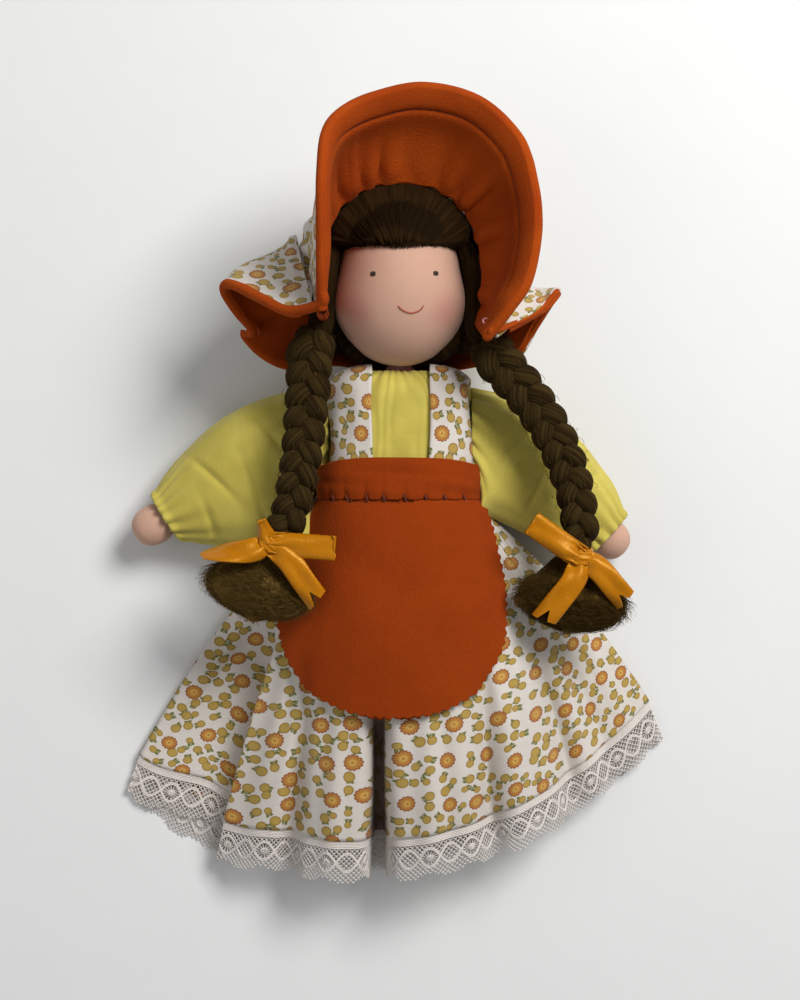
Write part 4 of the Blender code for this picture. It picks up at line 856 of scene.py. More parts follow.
def brimGrid(columns, rows):
    # straight from rim to edge, bulged outwards and rippled by gathers that die out from the rim
    place = np.linspace(0.0, 1.0, columns)
    angle = math.radians(-30.0) + math.radians(240.0) * place
    inner = bonnetRim(angle)
    outer = through(np.array(bonnet["brimEdge"]) * bonnet["span"] + headPlace, place)
    run = outer - inner
    inner = inner + run / np.linalg.norm(run, axis=1, keepdims=True) * bonnet["seam"]
    share = np.linspace(0.0, 1.0, rows)[:, None, None]
    outward = np.stack((np.cos(angle), np.sin(angle), np.zeros_like(angle)), axis=-1)
    fullness = np.clip(0.5 + 0.5 * np.sin(angle), 0.0, 1.0)[None, :, None]
    rng = np.random.default_rng(4)
    strength = np.interp(place, np.linspace(0, 1, 26), rng.uniform(0.1, 1.4, 26) ** 1.6)
    phase = bonnet["gathers"] * math.tau * place + 2.2 * ripple(place, 0.0, 8, 2, 5)
    reach = np.interp(place, np.linspace(0, 1, 22), rng.uniform(0.15, 0.40, 22))[None, :, None]
    start = np.minimum(share * 8, 1.0)
    wave = (np.cos(phase) * strength)[None, :, None] * np.exp(-(share / reach) ** 2) * start ** 0.7
    wave = wave * (smoothStep(place / 0.07) * smoothStep((1 - place) / 0.07))[None, :, None]
    for centre, half, far, amount in bonnet["creases"]:
        wave = wave - amount * bump(place, centre, half)[None, :, None] * np.exp(-(share / far) ** 2) * start
    grid = inner[None] + (outer - inner)[None] * share
    inside = (smoothStep(place / 0.12) * smoothStep((1 - place) / 0.12))[None, :, None]
    flare = bonnet["flare"] * inside * share ** 4 * (1 - share) / 0.082
    swell = bonnet["bulge"] * fullness * np.sin(math.pi * share) - flare + bonnet["gatherDepth"] * wave
    return grid + outward[None] * swell


def frillGrid(columns, rows):
    # seam on the crown out to the flared hem, with soft flutes
    place = np.linspace(0.0, 1.0, columns)
    stations = np.linspace(0.0, 1.0, len(bonnet["frillTurn"]))
    degrees = np.interp(place, stations, bonnet["frillTurn"])
    angle = np.radians(degrees)
    inner = crownPoint(angle, np.interp(degrees, bonnet["seamTurns"], bonnet["seamShares"]))
    hem = through(np.array(bonnet["frillHem"]) * 0.001, place)
    away = np.stack((np.cos(angle), np.sin(angle), np.zeros_like(angle)), axis=-1)
    inner = inner + away * (bonnet["seam"] * (1.0 + 1.8 * np.abs(np.cos(angle)) ** 0.5))[:, None]
    share = np.linspace(0.0, 1.0, rows)[:, None, None]
    inside = smoothStep(place / 0.10) * smoothStep((1 - place) / 0.10)
    full = bonnet["frillBulge"] * (np.cos(angle) ** 4 * inside)[None, :, None]
    return inner[None] + (hem - inner)[None] * share + away[None] * full * np.sin(math.pi * share ** 0.9)


def edgeBinding(name, line, radius, thin=0.0):
    # a rolled felt edge: a round profile carried along the cloth's edge, thinner towards its end
    path = resample(line, max(int(len(line) * 1.2), 60))
    ease = endEase(len(path), 0.3, 30.3)
    ease = ease * (1.0 - thin * smoothStep((np.linspace(0, 1, len(path)) - 0.60) / 0.08))
    return dress(tubes(name, path[None], (radius * ease)[None], 10), "felt", "head", "orange_felt")


def stitches(name, line, pitch, share, radius):
    # dashes of thread: each one a short arched tube on the line
    fine = resample(line, 900)
    total = np.linalg.norm(np.diff(fine, axis=0), axis=1).sum()
    count = max(int(total / pitch), 1)
    starts = np.arange(count)[:, None] + np.linspace(0.5 - share / 2, 0.5 + share / 2, 5)[None]
    place = starts / count * (len(fine) - 1)
    low = np.minimum(place.astype(int), len(fine) - 2)
    step = (place - low)[..., None]
    paths = fine[low] * (1 - step) + fine[low + 1] * step
    arch = np.array((0.35, 0.9, 1.0, 0.9, 0.35))
    piece = tubes(name, paths, np.broadcast_to(radius * arch, place.shape), 5)
    return dress(piece, "stitch", "head", "thread")


def makeBonnet():
    # crown, brim and frill; brim and frill are each a cotton shell and a felt lining on one middle
    thick = {"cotton": cloth["cotton"], "felt": cloth["felt"], "brimGap": 0.0004, "frillGap": 0.0006,
             "edge": 0.0015, "stitchIn": 0.0064, "stitchPitch": 0.0026, "pucker": 0.0009, "lump": 0.0007}
    angles = ringTurns(220)
    share, angle = overGrid(np.linspace(0.012, 0.97, 70), angles)
    crown = crownPoint(angle, share)
    pucker = np.cos(angle * 26 + 2.0 * ripple(angle / math.tau, 0.0, 2, 2, 5))
    depth = thick["pucker"] * smoothStep((share - 0.45) / 0.5) + 0.0004 * (1 - smoothStep(share / 0.3))
    swell = pucker * depth + thick["lump"] * ripple(angle / math.tau * 2, share, 17, 1, 3)
    middle = np.array((headPlace[0], headPlace[1], 0.020))
    outward = (crown - middle) / np.linalg.norm(crown - middle, axis=2, keepdims=True)
    crown = crown + outward * (swell * smoothStep(share / 0.35))[..., None]
    crown[..., 2] = np.maximum(crown[..., 2], thick["cotton"] / 2)
    down = lengthAlong(crown, 0).mean(axis=1)[:, None]
    around = np.append(angles, math.tau)
    cut = np.stack((down * np.cos(around), down * np.sin(around)), axis=2)
    piece = clothPiece("bonnetCrown", crown, thick["cotton"], wrap=True, cut=cut)
    dress(piece, "print", "head", "print_cotton", "bonnet_crown")

    grid = brimGrid(360, 56)
    share = np.linspace(0.0, 1.0, 56)[:, None]
    width = np.linalg.norm(grid[-1] - grid[0], axis=1)[None]
    fromEdge = (1.0 - share) * width
    pad = 0.0002 * smoothStep((fromEdge - thick["stitchIn"]) / 0.003) * smoothStep(share * 5)
    groove = -0.0007 * bump(fromEdge, thick["stitchIn"], 0.0007)
    normals = gridNormals(grid, False)
    lining = grid - normals * ((thick["brimGap"] + thick["felt"]) / 2 + pad + groove)[..., None]
    shell = grid + normals * ((thick["brimGap"] + thick["cotton"]) / 2)
    piece = clothPiece("brimPrint", shell, thick["cotton"])
    dress(piece, "print", "head", "print_cotton", "bonnet_brim")
    piece = clothPiece("brimLining", lining, thick["felt"])
    dress(piece, "felt", "head", "orange_felt", "bonnet_brim_lining")
    # the points that carry the frill's rolled edge on round the brim's corner
    brimCorners = grid[-2, [-26, -14, -5, 4, 13, 25]]
    line = np.concatenate((grid[10:-2, 1], grid[-2], grid[10:-2, -2][::-1]))
    edgeBinding("brimEdge", line, thick["edge"])

    inset = np.clip(1.0 - thick["stitchIn"] / width[0], 0.0, 1.0) * 55
    low = np.minimum(inset.astype(int), 54)
    step = (inset - low)[:, None]
    columns = np.arange(360)
    face = lining - normals * thick["felt"] * 0.52
    line = face[low, columns] * (1 - step) + face[low + 1, columns] * step
    seamPlace = face[40, 9]
    stitches("brimStitches", line, thick["stitchPitch"], 0.80, 0.00026)

    grid = frillGrid(300, 40)
    normals = gridNormals(grid, False)
    ends = np.minimum(np.arange(300), np.arange(299, -1, -1))[None, :, None] / 300
    tuck = 0.0016 * (1 - smoothStep(ends / 0.035))
    shell = grid + normals * ((thick["frillGap"] + thick["cotton"]) / 2 - tuck)
    lining = (grid - normals * ((thick["frillGap"] + thick["felt"]) / 2))[:, 10:-10]
    piece = clothPiece("frillPrint", shell, thick["cotton"])
    dress(piece, "print", "head", "print_cotton", "bonnet_frill")
    piece = clothPiece("frillLining", lining, thick["felt"])
    dress(piece, "felt", "head", "orange_felt", "bonnet_frill_lining")
    line = np.concatenate((brimCorners[:3], grid[-2, 16:-16:12], brimCorners[3:]))
    edgeBinding("frillEdge", through(line, np.linspace(0, 1, 300)), thick["edge"], thin=0.45)

    # the pink thread that sews the brim's corner, tied in a small knot
    loop = np.linspace(0.0, math.tau, 24)
    knots = [seamPlace + np.stack((0.0007 * np.cos(loop + k), 0.0007 * np.sin(loop + k),
                                   0.0005 * np.sin(loop * 2 + k * 2)), axis=-1) for k in range(3)]
    dress(tubes("cornerKnot", np.array(knots), 0.00028, 6), "pink", "head", "thread")


makeBonnet()
print("bonnet made")


def makeWaistband():
    # felt band: body ring at one girth, rounded over its height, tucked where the stitches pull
    band = {"bottom": 0.0001, "top": 0.0116, "out": 0.0038, "round": 0.0007, "tuck": 0.0006, "arch": 0.0006,
            "stitches": (-0.0200, -0.0158, -0.0100, -0.0050, 0.0012, 0.0072, 0.0128, 0.0186),
            "stitchLength": 0.0024, "thread": 0.00026, "flat": (0.0115, 0.155)}
    turn, share = np.meshgrid(ringTurns(320), np.linspace(0, 1, 20))
    plain = bodyRing(turn, band["bottom"] + (band["top"] - band["bottom"]) * share, band["out"])
    front = smoothStep(np.sin(turn) * 3.0)
    pull = sum(bump(plain[..., 0], x, 0.0010) for x in band["stitches"]) * front
    swell = band["round"] * np.sin(math.pi * np.clip(share, 0.02, 0.98)) ** 0.5
    swell = swell - band["tuck"] * pull * (1.0 - share) ** 3 + 0.0003 * ripple(turn / math.tau * 3, share, 31)
    y = plain[..., 1] + front * band["arch"] * (1 - 4.5 * (plain[..., 0] / 0.024) ** 4) * share
    y = y + band["tuck"] * pull * (1.0 - share) ** 4
    grid = bodyRing(turn, y, band["out"] + swell)
    grid[..., 2] = np.maximum(grid[..., 2], 0.0008)
    piece = clothPiece("waistband", grid, cloth["felt"], wrap=True)
    dress(piece, "apronFelt", "torso", "orange_felt", "apron_waistband")

    x = np.array(band["stitches"])[:, None] + np.linspace(0.0, 0.0007, 6)[None]
    low = band["bottom"] - band["stitchLength"] * 0.32
    y = np.linspace(band["bottom"] + band["stitchLength"] * 0.68, low, 6)[None] + 0 * x
    width = body["width"] / 2 + band["out"] + 0.0009
    depth = body["depth"] / 2 + band["out"] + 0.0009
    z = body["height"] + depth * np.clip(1 - np.abs(x / width) ** 2.4, 0, 1) ** (1 / 2.4)
    z = z + np.array((-0.0002, 0.00025, 0.0003, 0.0001, -0.0004, -0.0014))
    arch = np.array((0.5, 1.0, 1.0, 1.0, 0.9, 0.5)) * band["thread"]
    dress(tubes("waistStitches", np.stack((x, y, z), axis=-1), arch[None], 6), "stitch", "torso", "thread")


def skirtFrontAt(x, y):
    # angle and share of the skirt's front over x, y, closed in on step by step
    angle = np.zeros_like(x)
    share = np.clip((skirt["waist"] - y) / skirt["length"], 0.0, 1.0)
    for _ in range(60):
        here = skirtPoint(angle, share, True, 0.0)
        half = (skirtPoint(np.full_like(x, skirt["left"]), share, True, 0.0)[..., 0]
                - skirtPoint(np.full_like(x, -skirt["right"]), share, True, 0.0)[..., 0])
        angle = np.clip(angle + 0.6 * (x - here[..., 0]) / half * (skirt["left"] + skirt["right"]),
                        -skirt["right"], skirt["left"])
        share = np.clip(share + 0.8 * (here[..., 1] - y) / skirt["length"], 0.0, 1.0)
    return angle, share


def makeApron():
    # felt panel on the skirt: straight top, full sides, round foot, and a pinked edge
    apron = {"centre": -0.0022, "topWidth": 0.0436, "width": 0.0650, "length": 0.0636, "air": 0.0009,
             "top": 0.0003, "pinkPitch": 0.0028, "pinkDepth": 0.0007, "flat": (0.064, 0.064), "area": 0.0041,
             "rows": 130, "columns": 140}
    down = 1.0 - np.cos(np.linspace(0.10, 1.0, apron["rows"]) * math.pi / 2)
    down = 1.0 - ((down - down[0]) / (1.0 - down[0]))[::-1]
    share, side = overGrid(down * 0.9995, np.linspace(-1, 1, apron["columns"]))
    low = apron["width"] / 2 * (1.0 - np.clip((share - 0.5) / 0.5, 0, 1) ** 2.6) ** 0.4545
    rise = np.sin(np.clip(share / 0.5, 0, 1) * math.pi / 2) ** 0.85
    high = apron["topWidth"] / 2 + (apron["width"] - apron["topWidth"]) / 2 * rise
    x = apron["centre"] * np.minimum(share * 4, 1) + np.where(share < 0.5, high, low) * side
    y = apron["top"] - apron["length"] * share

    edgeX = np.concatenate((x[:, 0], x[-1], x[::-1, -1]))
    edgeY = np.concatenate((y[:, 0], y[-1], y[::-1, -1]))
    middle = np.array((apron["centre"], apron["top"] - apron["length"] * 0.5))
    run = np.concatenate(((0.0,), np.cumsum(np.hypot(np.diff(edgeX), np.diff(edgeY)))))
    edgeTurn = np.unwrap(np.arctan2(edgeY - middle[1], edgeX - middle[0]))
    edgeFar = np.hypot(edgeY - middle[1], edgeX - middle[0])
    turn = np.arctan2(y - middle[1], x - middle[0])
    turn = np.where(turn < edgeTurn[0], turn + math.tau, turn)
    turn = np.clip(turn, edgeTurn[0], edgeTurn[-1])
    far = np.hypot(y - middle[1], x - middle[0])
    close = np.clip(far / np.interp(turn, edgeTurn, edgeFar), 0, 1) ** 24
    tooth = 0.5 - 0.5 * np.cos(np.interp(turn, edgeTurn, run) / apron["pinkPitch"] * math.tau)
    pull = 1.0 - close * apron["pinkDepth"] * tooth / far * smoothStep(share * 20)
    x, y = middle[0] + (x - middle[0]) * pull, middle[1] + (y - middle[1]) * pull

    angle, place = skirtFrontAt(x, y)
    place = np.maximum(place, 0.003)
    step = 1e-3
    across = skirtPoint(angle + step, place, True, 0.0) - skirtPoint(angle - step, place, True, 0.0)
    below = skirtPoint(angle, place + step, True, 0.0) - skirtPoint(angle, place - step, True, 0.0)
    normal = np.cross(below, across)
    normal /= np.linalg.norm(normal, axis=-1, keepdims=True)
    wave = 0.0005 * ripple(x / 0.03, y / 0.03, 41, 0.6, 1.6) * smoothStep(share * 4)
    lift = cloth["skirt"] / 2 + apron["air"] + cloth["felt"] / 2 + wave
    grid = skirtPoint(angle, place, True, 0.0) + normal * lift[..., None]
    grid[..., 1] = np.minimum(grid[..., 1], apron["top"])
    piece = clothPiece("apronPanel", grid, cloth["felt"])
    dress(piece, "apronFelt", "torso", "orange_felt", "apron_panel")


def makeLace():
    # bobbin lace: threads laid out on a flat band (along the hem, down to the edge) and then
    # carried onto the hem, which turns outwards a little less than the skirt does
    lace = {"width": 0.0130, "turn": 0.45, "drop": 0.0030, "thick": 0.0006, "period": 0.0128, "tape": 0.15,
            "thread": 0.00019, "trail": 0.00030, "mesh": 0.00150, "flat": (0.0130, 0.45), "spokes": 14}
    front, back = 700, 240
    hem = skirtLoop(np.array((1.0,)), front, back)[0]
    hem = np.vstack((hem, hem[:1]))
    isFront = np.arange(len(hem)) < front
    angle = np.arctan2(hem[:, 0] - skirt["centre"][0], skirt["centre"][1] - hem[:, 1]) * lace["turn"]
    outward = np.stack((np.sin(angle), -np.cos(angle)), axis=-1)
    run = np.concatenate(((0.0,), np.cumsum(np.linalg.norm(np.diff(hem, axis=0), axis=1))))
    low = lace["thick"] / 2 + np.where(isFront, skirt["sideRise"], 0.0)
    total = run[-1]
    count = int(round(total / lace["period"]))
    period = total / count

    def onHem(along, down):
        along = np.mod(along, total)
        x, y, z = (np.interp(along, run, hem[:, k]) for k in range(3))
        reach = cloth["gap"] + lace["width"] * down
        x = x + np.interp(along, run, outward[:, 0]) * reach
        y = y + np.interp(along, run, outward[:, 1]) * reach
        z = z - lace["drop"] * down * np.interp(along, run, isFront * 1.0)
        return np.stack((x, y, np.maximum(z, np.interp(along, run, low))), axis=-1)

    def swing(along):
        return 0.22 * np.cos(along / period * math.tau)

    up = (0.31, 0.17, 0.93)
    paths, radii = [], []
    line = np.linspace(0.0, total, 1000)
    for down in np.linspace(0.0, lace["tape"], 5):
        paths.append(onHem(line, down + 0 * line))
        radii.append(lace["trail"])
    for side in (-1, 1):
        for apart in (-0.018, 0.018):
            paths.append(onHem(line, 0.50 + side * swing(line) + apart))
            radii.append(lace["trail"] * 0.85)
    parts = [(np.array(paths), np.array(radii)[:, None])]

    # weaving between the tape's threads, and the spokes of each oval
    ticks = np.arange(0.0, total, 0.00085)
    rungs = np.linspace(0.0, lace["tape"], 3)[None]
    paths = onHem(ticks[:, None] + 0.0004 * rungs / lace["tape"], rungs + 0 * ticks[:, None])
    parts.append((paths, lace["thread"]))
    ovals = (np.arange(count) * period)[:, None, None]
    turn = (np.arange(lace["spokes"]) / lace["spokes"] * math.tau)[None, :, None]
    far = np.linspace(0.30, 0.92, 3)[None, None]
    paths = onHem(ovals + np.cos(turn) * far * period * 0.25, 0.50 + np.sin(turn) * far * 0.20)
    parts.append((paths.reshape(-1, 3, 3), lace["thread"]))
    ring = np.linspace(0.0, math.tau, 22)[None, None]
    size = np.array((0.10, 0.20, 0.30))[None, :, None]
    paths = onHem(ovals + np.cos(ring) * size * period * 0.25, 0.50 + np.sin(ring) * size * 0.20)
    parts.append((paths.reshape(-1, 22, 3), lace["thread"] * 1.3))

    # diamond net outside the ovals, short of a pointed edge
    pitch = lace["mesh"]
    wide, deep = int(total / pitch), int(lace["width"] * 2 / pitch) + 2
    column, row = (item.ravel() for item in overGrid(np.arange(wide), np.arange(deep)))
    pitchX = total / wide
    starts = np.stack((column * pitchX + (row % 2) * pitchX / 2, row * pitch / 2 / lace["width"]), axis=1)
    for way in (-1, 1):
        steps = np.linspace(0.0, 1.0, 3)[None]
        along = starts[:, :1] + way * steps * pitchX / 2
        down = starts[:, 1:] + steps * pitch / 2 / lace["width"]
        middle, level = along[:, 1], down[:, 1]
        wave = np.abs(0.22 * np.cos(middle / period * math.tau))
        inside = (np.abs(level - 0.50) < wave) & (np.cos(middle / period * math.tau) > 0)
        edge = 0.93 - 0.07 * np.cos(middle / period * math.tau)
        keep = ~inside & (level > lace["tape"]) & (down[:, 2] < edge + 0.03)
        parts.append((onHem(along[keep], down[keep]), lace["thread"]))
    meshes = [tubes("laceThreads%d" % k, paths, radius, 4 if k == 0 else 3, up)
              for k, (paths, radius) in enumerate(parts)]
    piece = joined("laceEdging", meshes)
    dress(piece, "lace", "torso", "lace", "hem_lace")


def joined(name, pieces):
    # one piece from several: their points, faces and cut-cloth places one after another
    points, faces, corners, start = [], [], [], 0
    for item in pieces:
        mesh = item.data
        place = np.zeros(len(mesh.vertices) * 3)
        mesh.vertices.foreach_get("co", place)
        uv = np.zeros(len(mesh.loops) * 2)
        mesh.uv_layers[0].data.foreach_get("uv", uv)
        points.append(place.reshape(-1, 3))
        faces += [[corner + start for corner in face.vertices] for face in mesh.polygons]
        corners.append(uv.reshape(-1, 2))
        start += len(mesh.vertices)
        bpy.data.objects.remove(item)
    return putMesh(name, np.vstack(points), faces, np.vstack(corners), shift=False)


# Limbs and sleeves
shoulderPlace = {"inset": 0.02621, "y": 0.0232, "z": 0.0155}
hands = {"right": (-1.0, np.array((-0.0756, -0.0079, 0.0105))),
         "left": (1.0, np.array((0.0640, -0.0120, 0.0105)))}


def limbPiece(name, root, tip, table, sides=48, rows=70):
    # round limb: a smooth radius table carried along the straight line from root to tip
    shares = np.linspace(0.0, 1.0, rows)
    profile = through(table, shares)
    aim = tip - root
    length = np.linalg.norm(aim)
    aim = aim / length
    side = np.cross(aim, (0.0, 0.0, 1.0))
    side /= np.linalg.norm(side)
    above = np.cross(side, aim)
    turn = ringTurns(sides)
    ring = np.cos(turn)[:, None] * side + np.sin(turn)[:, None] * above
    uneven = 1.0 + 0.012 * ripple(shares[:, None] * 2, turn[None] / math.tau, len(name))
    grid = (root + aim * length * profile[:, :1])[:, None] + ring[None] * (profile[:, 1:] * uneven)[..., None]
    return gridPiece(name, grid, wrap=True, capStart=True, capEnd=True)


def makeArms():
    # share of the length and radius in m; the hand keeps its own length whatever the arm's
    arm = ((-0.065, 0.0006), (-0.05, 0.0034), (0.0, 0.0056), (0.25, 0.0056), (0.50, 0.0054),
           (0.72, 0.0047), (0.82, 0.0042), (0.872, 0.0043), (0.93, 0.0056), (0.99, 0.0061),
           (1.05, 0.0054), (1.092, 0.0034), (1.108, 0.0007))
    handLength = 0.0550
    for sideName, (side, hand) in hands.items():
        root = np.array((side * shoulderPlace["inset"], shoulderPlace["y"], shoulderPlace["z"]))
        reach = np.linalg.norm(hand - root)
        table = [(share if share < 0.8 else 1.0 + (share - 1.0) * handLength / reach, radius)
                 for share, radius in arm]
        piece = limbPiece("stuffedArm" + sideName.title(), root, hand, table)
        dress(piece, "skin", "arm_" + sideName, "skin", "arm_" + sideName)


def makeLegs():
    leg = {"spacing": 0.0180, "top": -0.0140, "length": 0.0660, "radius": 0.0068, "hip": 0.0130,
           "foot": 0.0092}
    table = ((-0.10, 0.0008), (-0.085, 0.0040), (-0.02, 0.0067), (0.10, 0.0068), (0.30, 0.0065),
             (0.55, 0.0060), (0.72, 0.0054), (0.79, 0.0058), (0.88, 0.0070), (0.95, 0.0066),
             (0.985, 0.0042), (0.998, 0.0008))
    for sideName, side in (("right", -1.0), ("left", 1.0)):
        x = side * leg["spacing"] / 2
        root = np.array((x, leg["top"] - leg["radius"], leg["hip"]))
        foot = np.array((x, leg["top"] - leg["length"], leg["foot"]))
        piece = limbPiece("stuffedLeg" + sideName.title(), root, foot, table)
        dress(piece, "skin", "leg_" + sideName, "skin", "leg_" + sideName)


def makeTorso():
    # body rings from seat to neck, closer together at both ends
    quarter = math.pi / 2
    seat = 1 - np.cos(np.linspace(0.02, 1, 14) * quarter)
    trunk = np.sin(np.linspace(0.03, 1, 50) * quarter)
    heights = np.concatenate((body["bottom"] + (body["hip"] - body["bottom"]) * seat,
                              body["hip"] + (body["top"] - body["hip"]) * trunk))
    turn, y = np.meshgrid(ringTurns(96), heights)
    piece = gridPiece("stuffedBody", bodyRing(turn, y, 0.0), wrap=True, capStart=True, capEnd=True)
    dress(piece, "skin", "torso", "skin", "torso")


def makeSleeves():
    # puffed tube from armhole to wrist: ellipse rings that swell in the middle, gathered at both ends
    puffs = {"right": {"puff": 0.0108, "sag": 0.0022, "low": 0.0082, "lowAt": 0.46, "wrist": 0.0050,
                       "cuff": 0.0062, "flat": (0.080, 0.060)},
             "left": {"puff": 0.0072, "sag": -0.0010, "low": 0.0062, "lowAt": 0.20, "wrist": 0.0014,
                      "cuff": 0.0071, "flat": (0.072, 0.056)}}
    sleeve = {"start": 0.0213, "head": 0.0105, "height": 0.0096, "gathers": 15, "gatherDepth": 0.00055,
              "crease": 0.0010, "floor": 0.0012, "rows": 100, "columns": 180,
              "creases": ((0.30, 1.1, 0.9), (0.52, 1.9, -0.7), (0.66, 1.2, 0.8), (0.80, 2.2, -0.5))}
    for sideName, (side, hand) in hands.items():
        own = puffs[sideName]
        root = np.array((side * shoulderPlace["inset"], shoulderPlace["y"], shoulderPlace["z"]))
        start = np.array((side * sleeve["start"], shoulderPlace["y"] - 0.0010, shoulderPlace["z"] + 0.0015))
        aim = (hand - root) / np.linalg.norm(hand - root)
        cuff = hand - aim * own["wrist"]
        beside = np.array((-aim[1], aim[0], 0.0)) / np.hypot(aim[0], aim[1])
        beside *= 1.0 if beside[1] > 0 else -1.0
        share, turn = overGrid(np.linspace(0, 1, sleeve["rows"]), ringTurns(sleeve["columns"]))
        middle = start + (cuff - start) * share[..., None]
        swing = smoothStep(share * 2.2)[..., None]
        wide = np.array((0.0, 1.0, 0.0)) * (1 - swing) + beside * swing
        wide /= np.linalg.norm(wide, axis=-1, keepdims=True)
        puff = np.sin(math.pi * np.clip(share, 0, 1)) ** 0.75
        low = own["low"] * bump(share, own["lowAt"], 0.24) * np.clip(-np.cos(turn), 0, 1) ** 1.5
        ends = np.exp(-share / 0.10) + np.exp(-(1 - share) / 0.09)
        uneven = ripple(turn / math.tau, share * 0.3, 51 + int(side), 1, 4)
        folds = np.sin(turn * sleeve["gathers"] + 2.5 * uneven) * (sleeve["gatherDepth"] * ends + 0.00012)
        soft = 0.0009 * ripple(turn / math.tau * 1.6, share * 1.4, 61 + int(side), 0.8, 2.4) * puff
        crease = sum(bump(share + slant * 0.10 * (turn - centre), spot, 0.022) * bump(turn, centre, 0.55)
                     for spot, centre, slant in sleeve["creases"])
        swell = folds + soft - sleeve["crease"] * crease
        half = sleeve["head"] + (own["cuff"] - sleeve["head"]) * share + own["puff"] * puff
        tall = sleeve["height"] + (own["cuff"] - 0.0003 - sleeve["height"]) * share
        tall = tall + 0.20 * own["puff"] * puff
        flare = 0.0010 * smoothStep((share - 0.95) / 0.05)
        grid = middle - wide * (own["sag"] * puff)[..., None]
        grid = grid + wide * ((half + swell + flare) * np.cos(turn) - low)[..., None]
        grid[..., 2] += (tall + swell + flare) * np.sin(turn) + low * 1.2
        grid[..., 2] = np.maximum(grid[..., 2], sleeve["floor"])
        piece = clothPiece("sleeve" + sideName.title(), grid, cloth["cotton"], wrap=True)
        dress(piece, "lemon", "arm_" + sideName, "yellow_cotton", "sleeve_" + sideName)


# Head and face
def headPoint(angle, polar, outside):
    # ball stretched to the head's size; wider at the cheeks, narrower at the eyes and the top
    height = np.sin(polar) * np.sin(angle)
    full = 1.080 - 0.145 * smoothStep((height + 0.42) / 0.62)
    x = (headSize[0] / 2 * full + outside) * np.sin(polar) * np.cos(angle)
    y = (headSize[1] / 2 + outside) * height
    z = -(headSize[2] / 2 + outside) * np.cos(polar)
    return np.stack((x, y, z), axis=-1) + headPlace


def onFace(x, y, out):
    # point of the face over x, y
    height = (y - headPlace[1]) / (headSize[1] / 2)
    full = 1.080 - 0.145 * smoothStep((height + 0.42) / 0.62)
    flat = np.clip(1.0 - (x / (headSize[0] / 2 * full)) ** 2 - height ** 2, 0, 1)
    return np.stack((x, y, headPlace[2] + headSize[2] / 2 * np.sqrt(flat) + out), axis=-1)


def makeHead():
    face = {"eyes": ((-0.0077, 0.0648), (0.0103, 0.0651)), "eyeHeight": 0.00150, "eyeThreads": 5, "eyeThread": 0.00017,
            "mouth": ((-0.0006, 0.0556), (0.0007, 0.0544), (0.0031, 0.0536), (0.0055, 0.0543), (0.0069, 0.0558)),
            "mouthThread": 0.00024, "neckTop": 0.0450, "neckLow": 0.0373, "neckHeight": 0.0200}
    polar, angle = np.meshgrid(np.linspace(0.03, math.pi - 0.02, 110), ringTurns(160), indexing="ij")
    grid = headPoint(angle, polar, 0.0)
    piece = gridPiece("headBall", grid, wrap=True, capStart=True, capEnd=True)
    dress(piece, "face", "head", "skin", "head")
    table = [(0.0, 0.0030), (0.10, 0.0036), (0.5, 0.0048), (1.0, 0.0062), (1.3, 0.0060), (1.5, 0.0020)]
    low = np.array((0.0, face["neckLow"], face["neckHeight"]))
    dress(limbPiece("neck", low, np.array((0.0, face["neckTop"], face["neckHeight"])), table), "skin", "head", "skin")

    step = np.linspace(-1.0, 1.0, 9)[None]
    for number, (x, y) in enumerate(face["eyes"]):
        place = (np.arange(face["eyeThreads"]) - (face["eyeThreads"] - 1) / 2)[:, None]
        tall = face["eyeHeight"] / 2 * np.sqrt(1 - (place / face["eyeThreads"] * 1.7) ** 2)
        paths = onFace(x + place * face["eyeThread"] * 1.7 + 0 * step, y + tall * step, 0.00012 * (1 - step ** 2) + 0.00004 + 0 * place)
        piece = tubes("eye%d" % (number + 1), paths, face["eyeThread"] * (1 - 0.5 * step ** 4), 8)
        dress(piece, "dark", "head", "thread")
    arc = through(face["mouth"], np.linspace(0, 1, 40))
    path = onFace(arc[:, 0], arc[:, 1], 0.00010)[None]
    ease = np.minimum(np.minimum(np.linspace(0.4, 8, 40), np.linspace(8, 0.4, 40)), 1.0)
    dress(tubes("smile", path, face["mouthThread"] * ease[None], 8), "mouth", "head", "thread")

    turns = np.linspace(0.0, math.tau * 3, 120)
    radius = 0.0044
    ring = np.stack((radius * np.cos(turns), 0.0386 + 0.00020 * turns / math.tau * 2, face["neckHeight"] + radius * np.sin(turns)), axis=-1)
    piece = tubes("neckThread", ring[None], 0.00030, 6, (0.0, 1.0, 0.0))
    dress(piece, "pink", "head", "thread", "neck_tie")


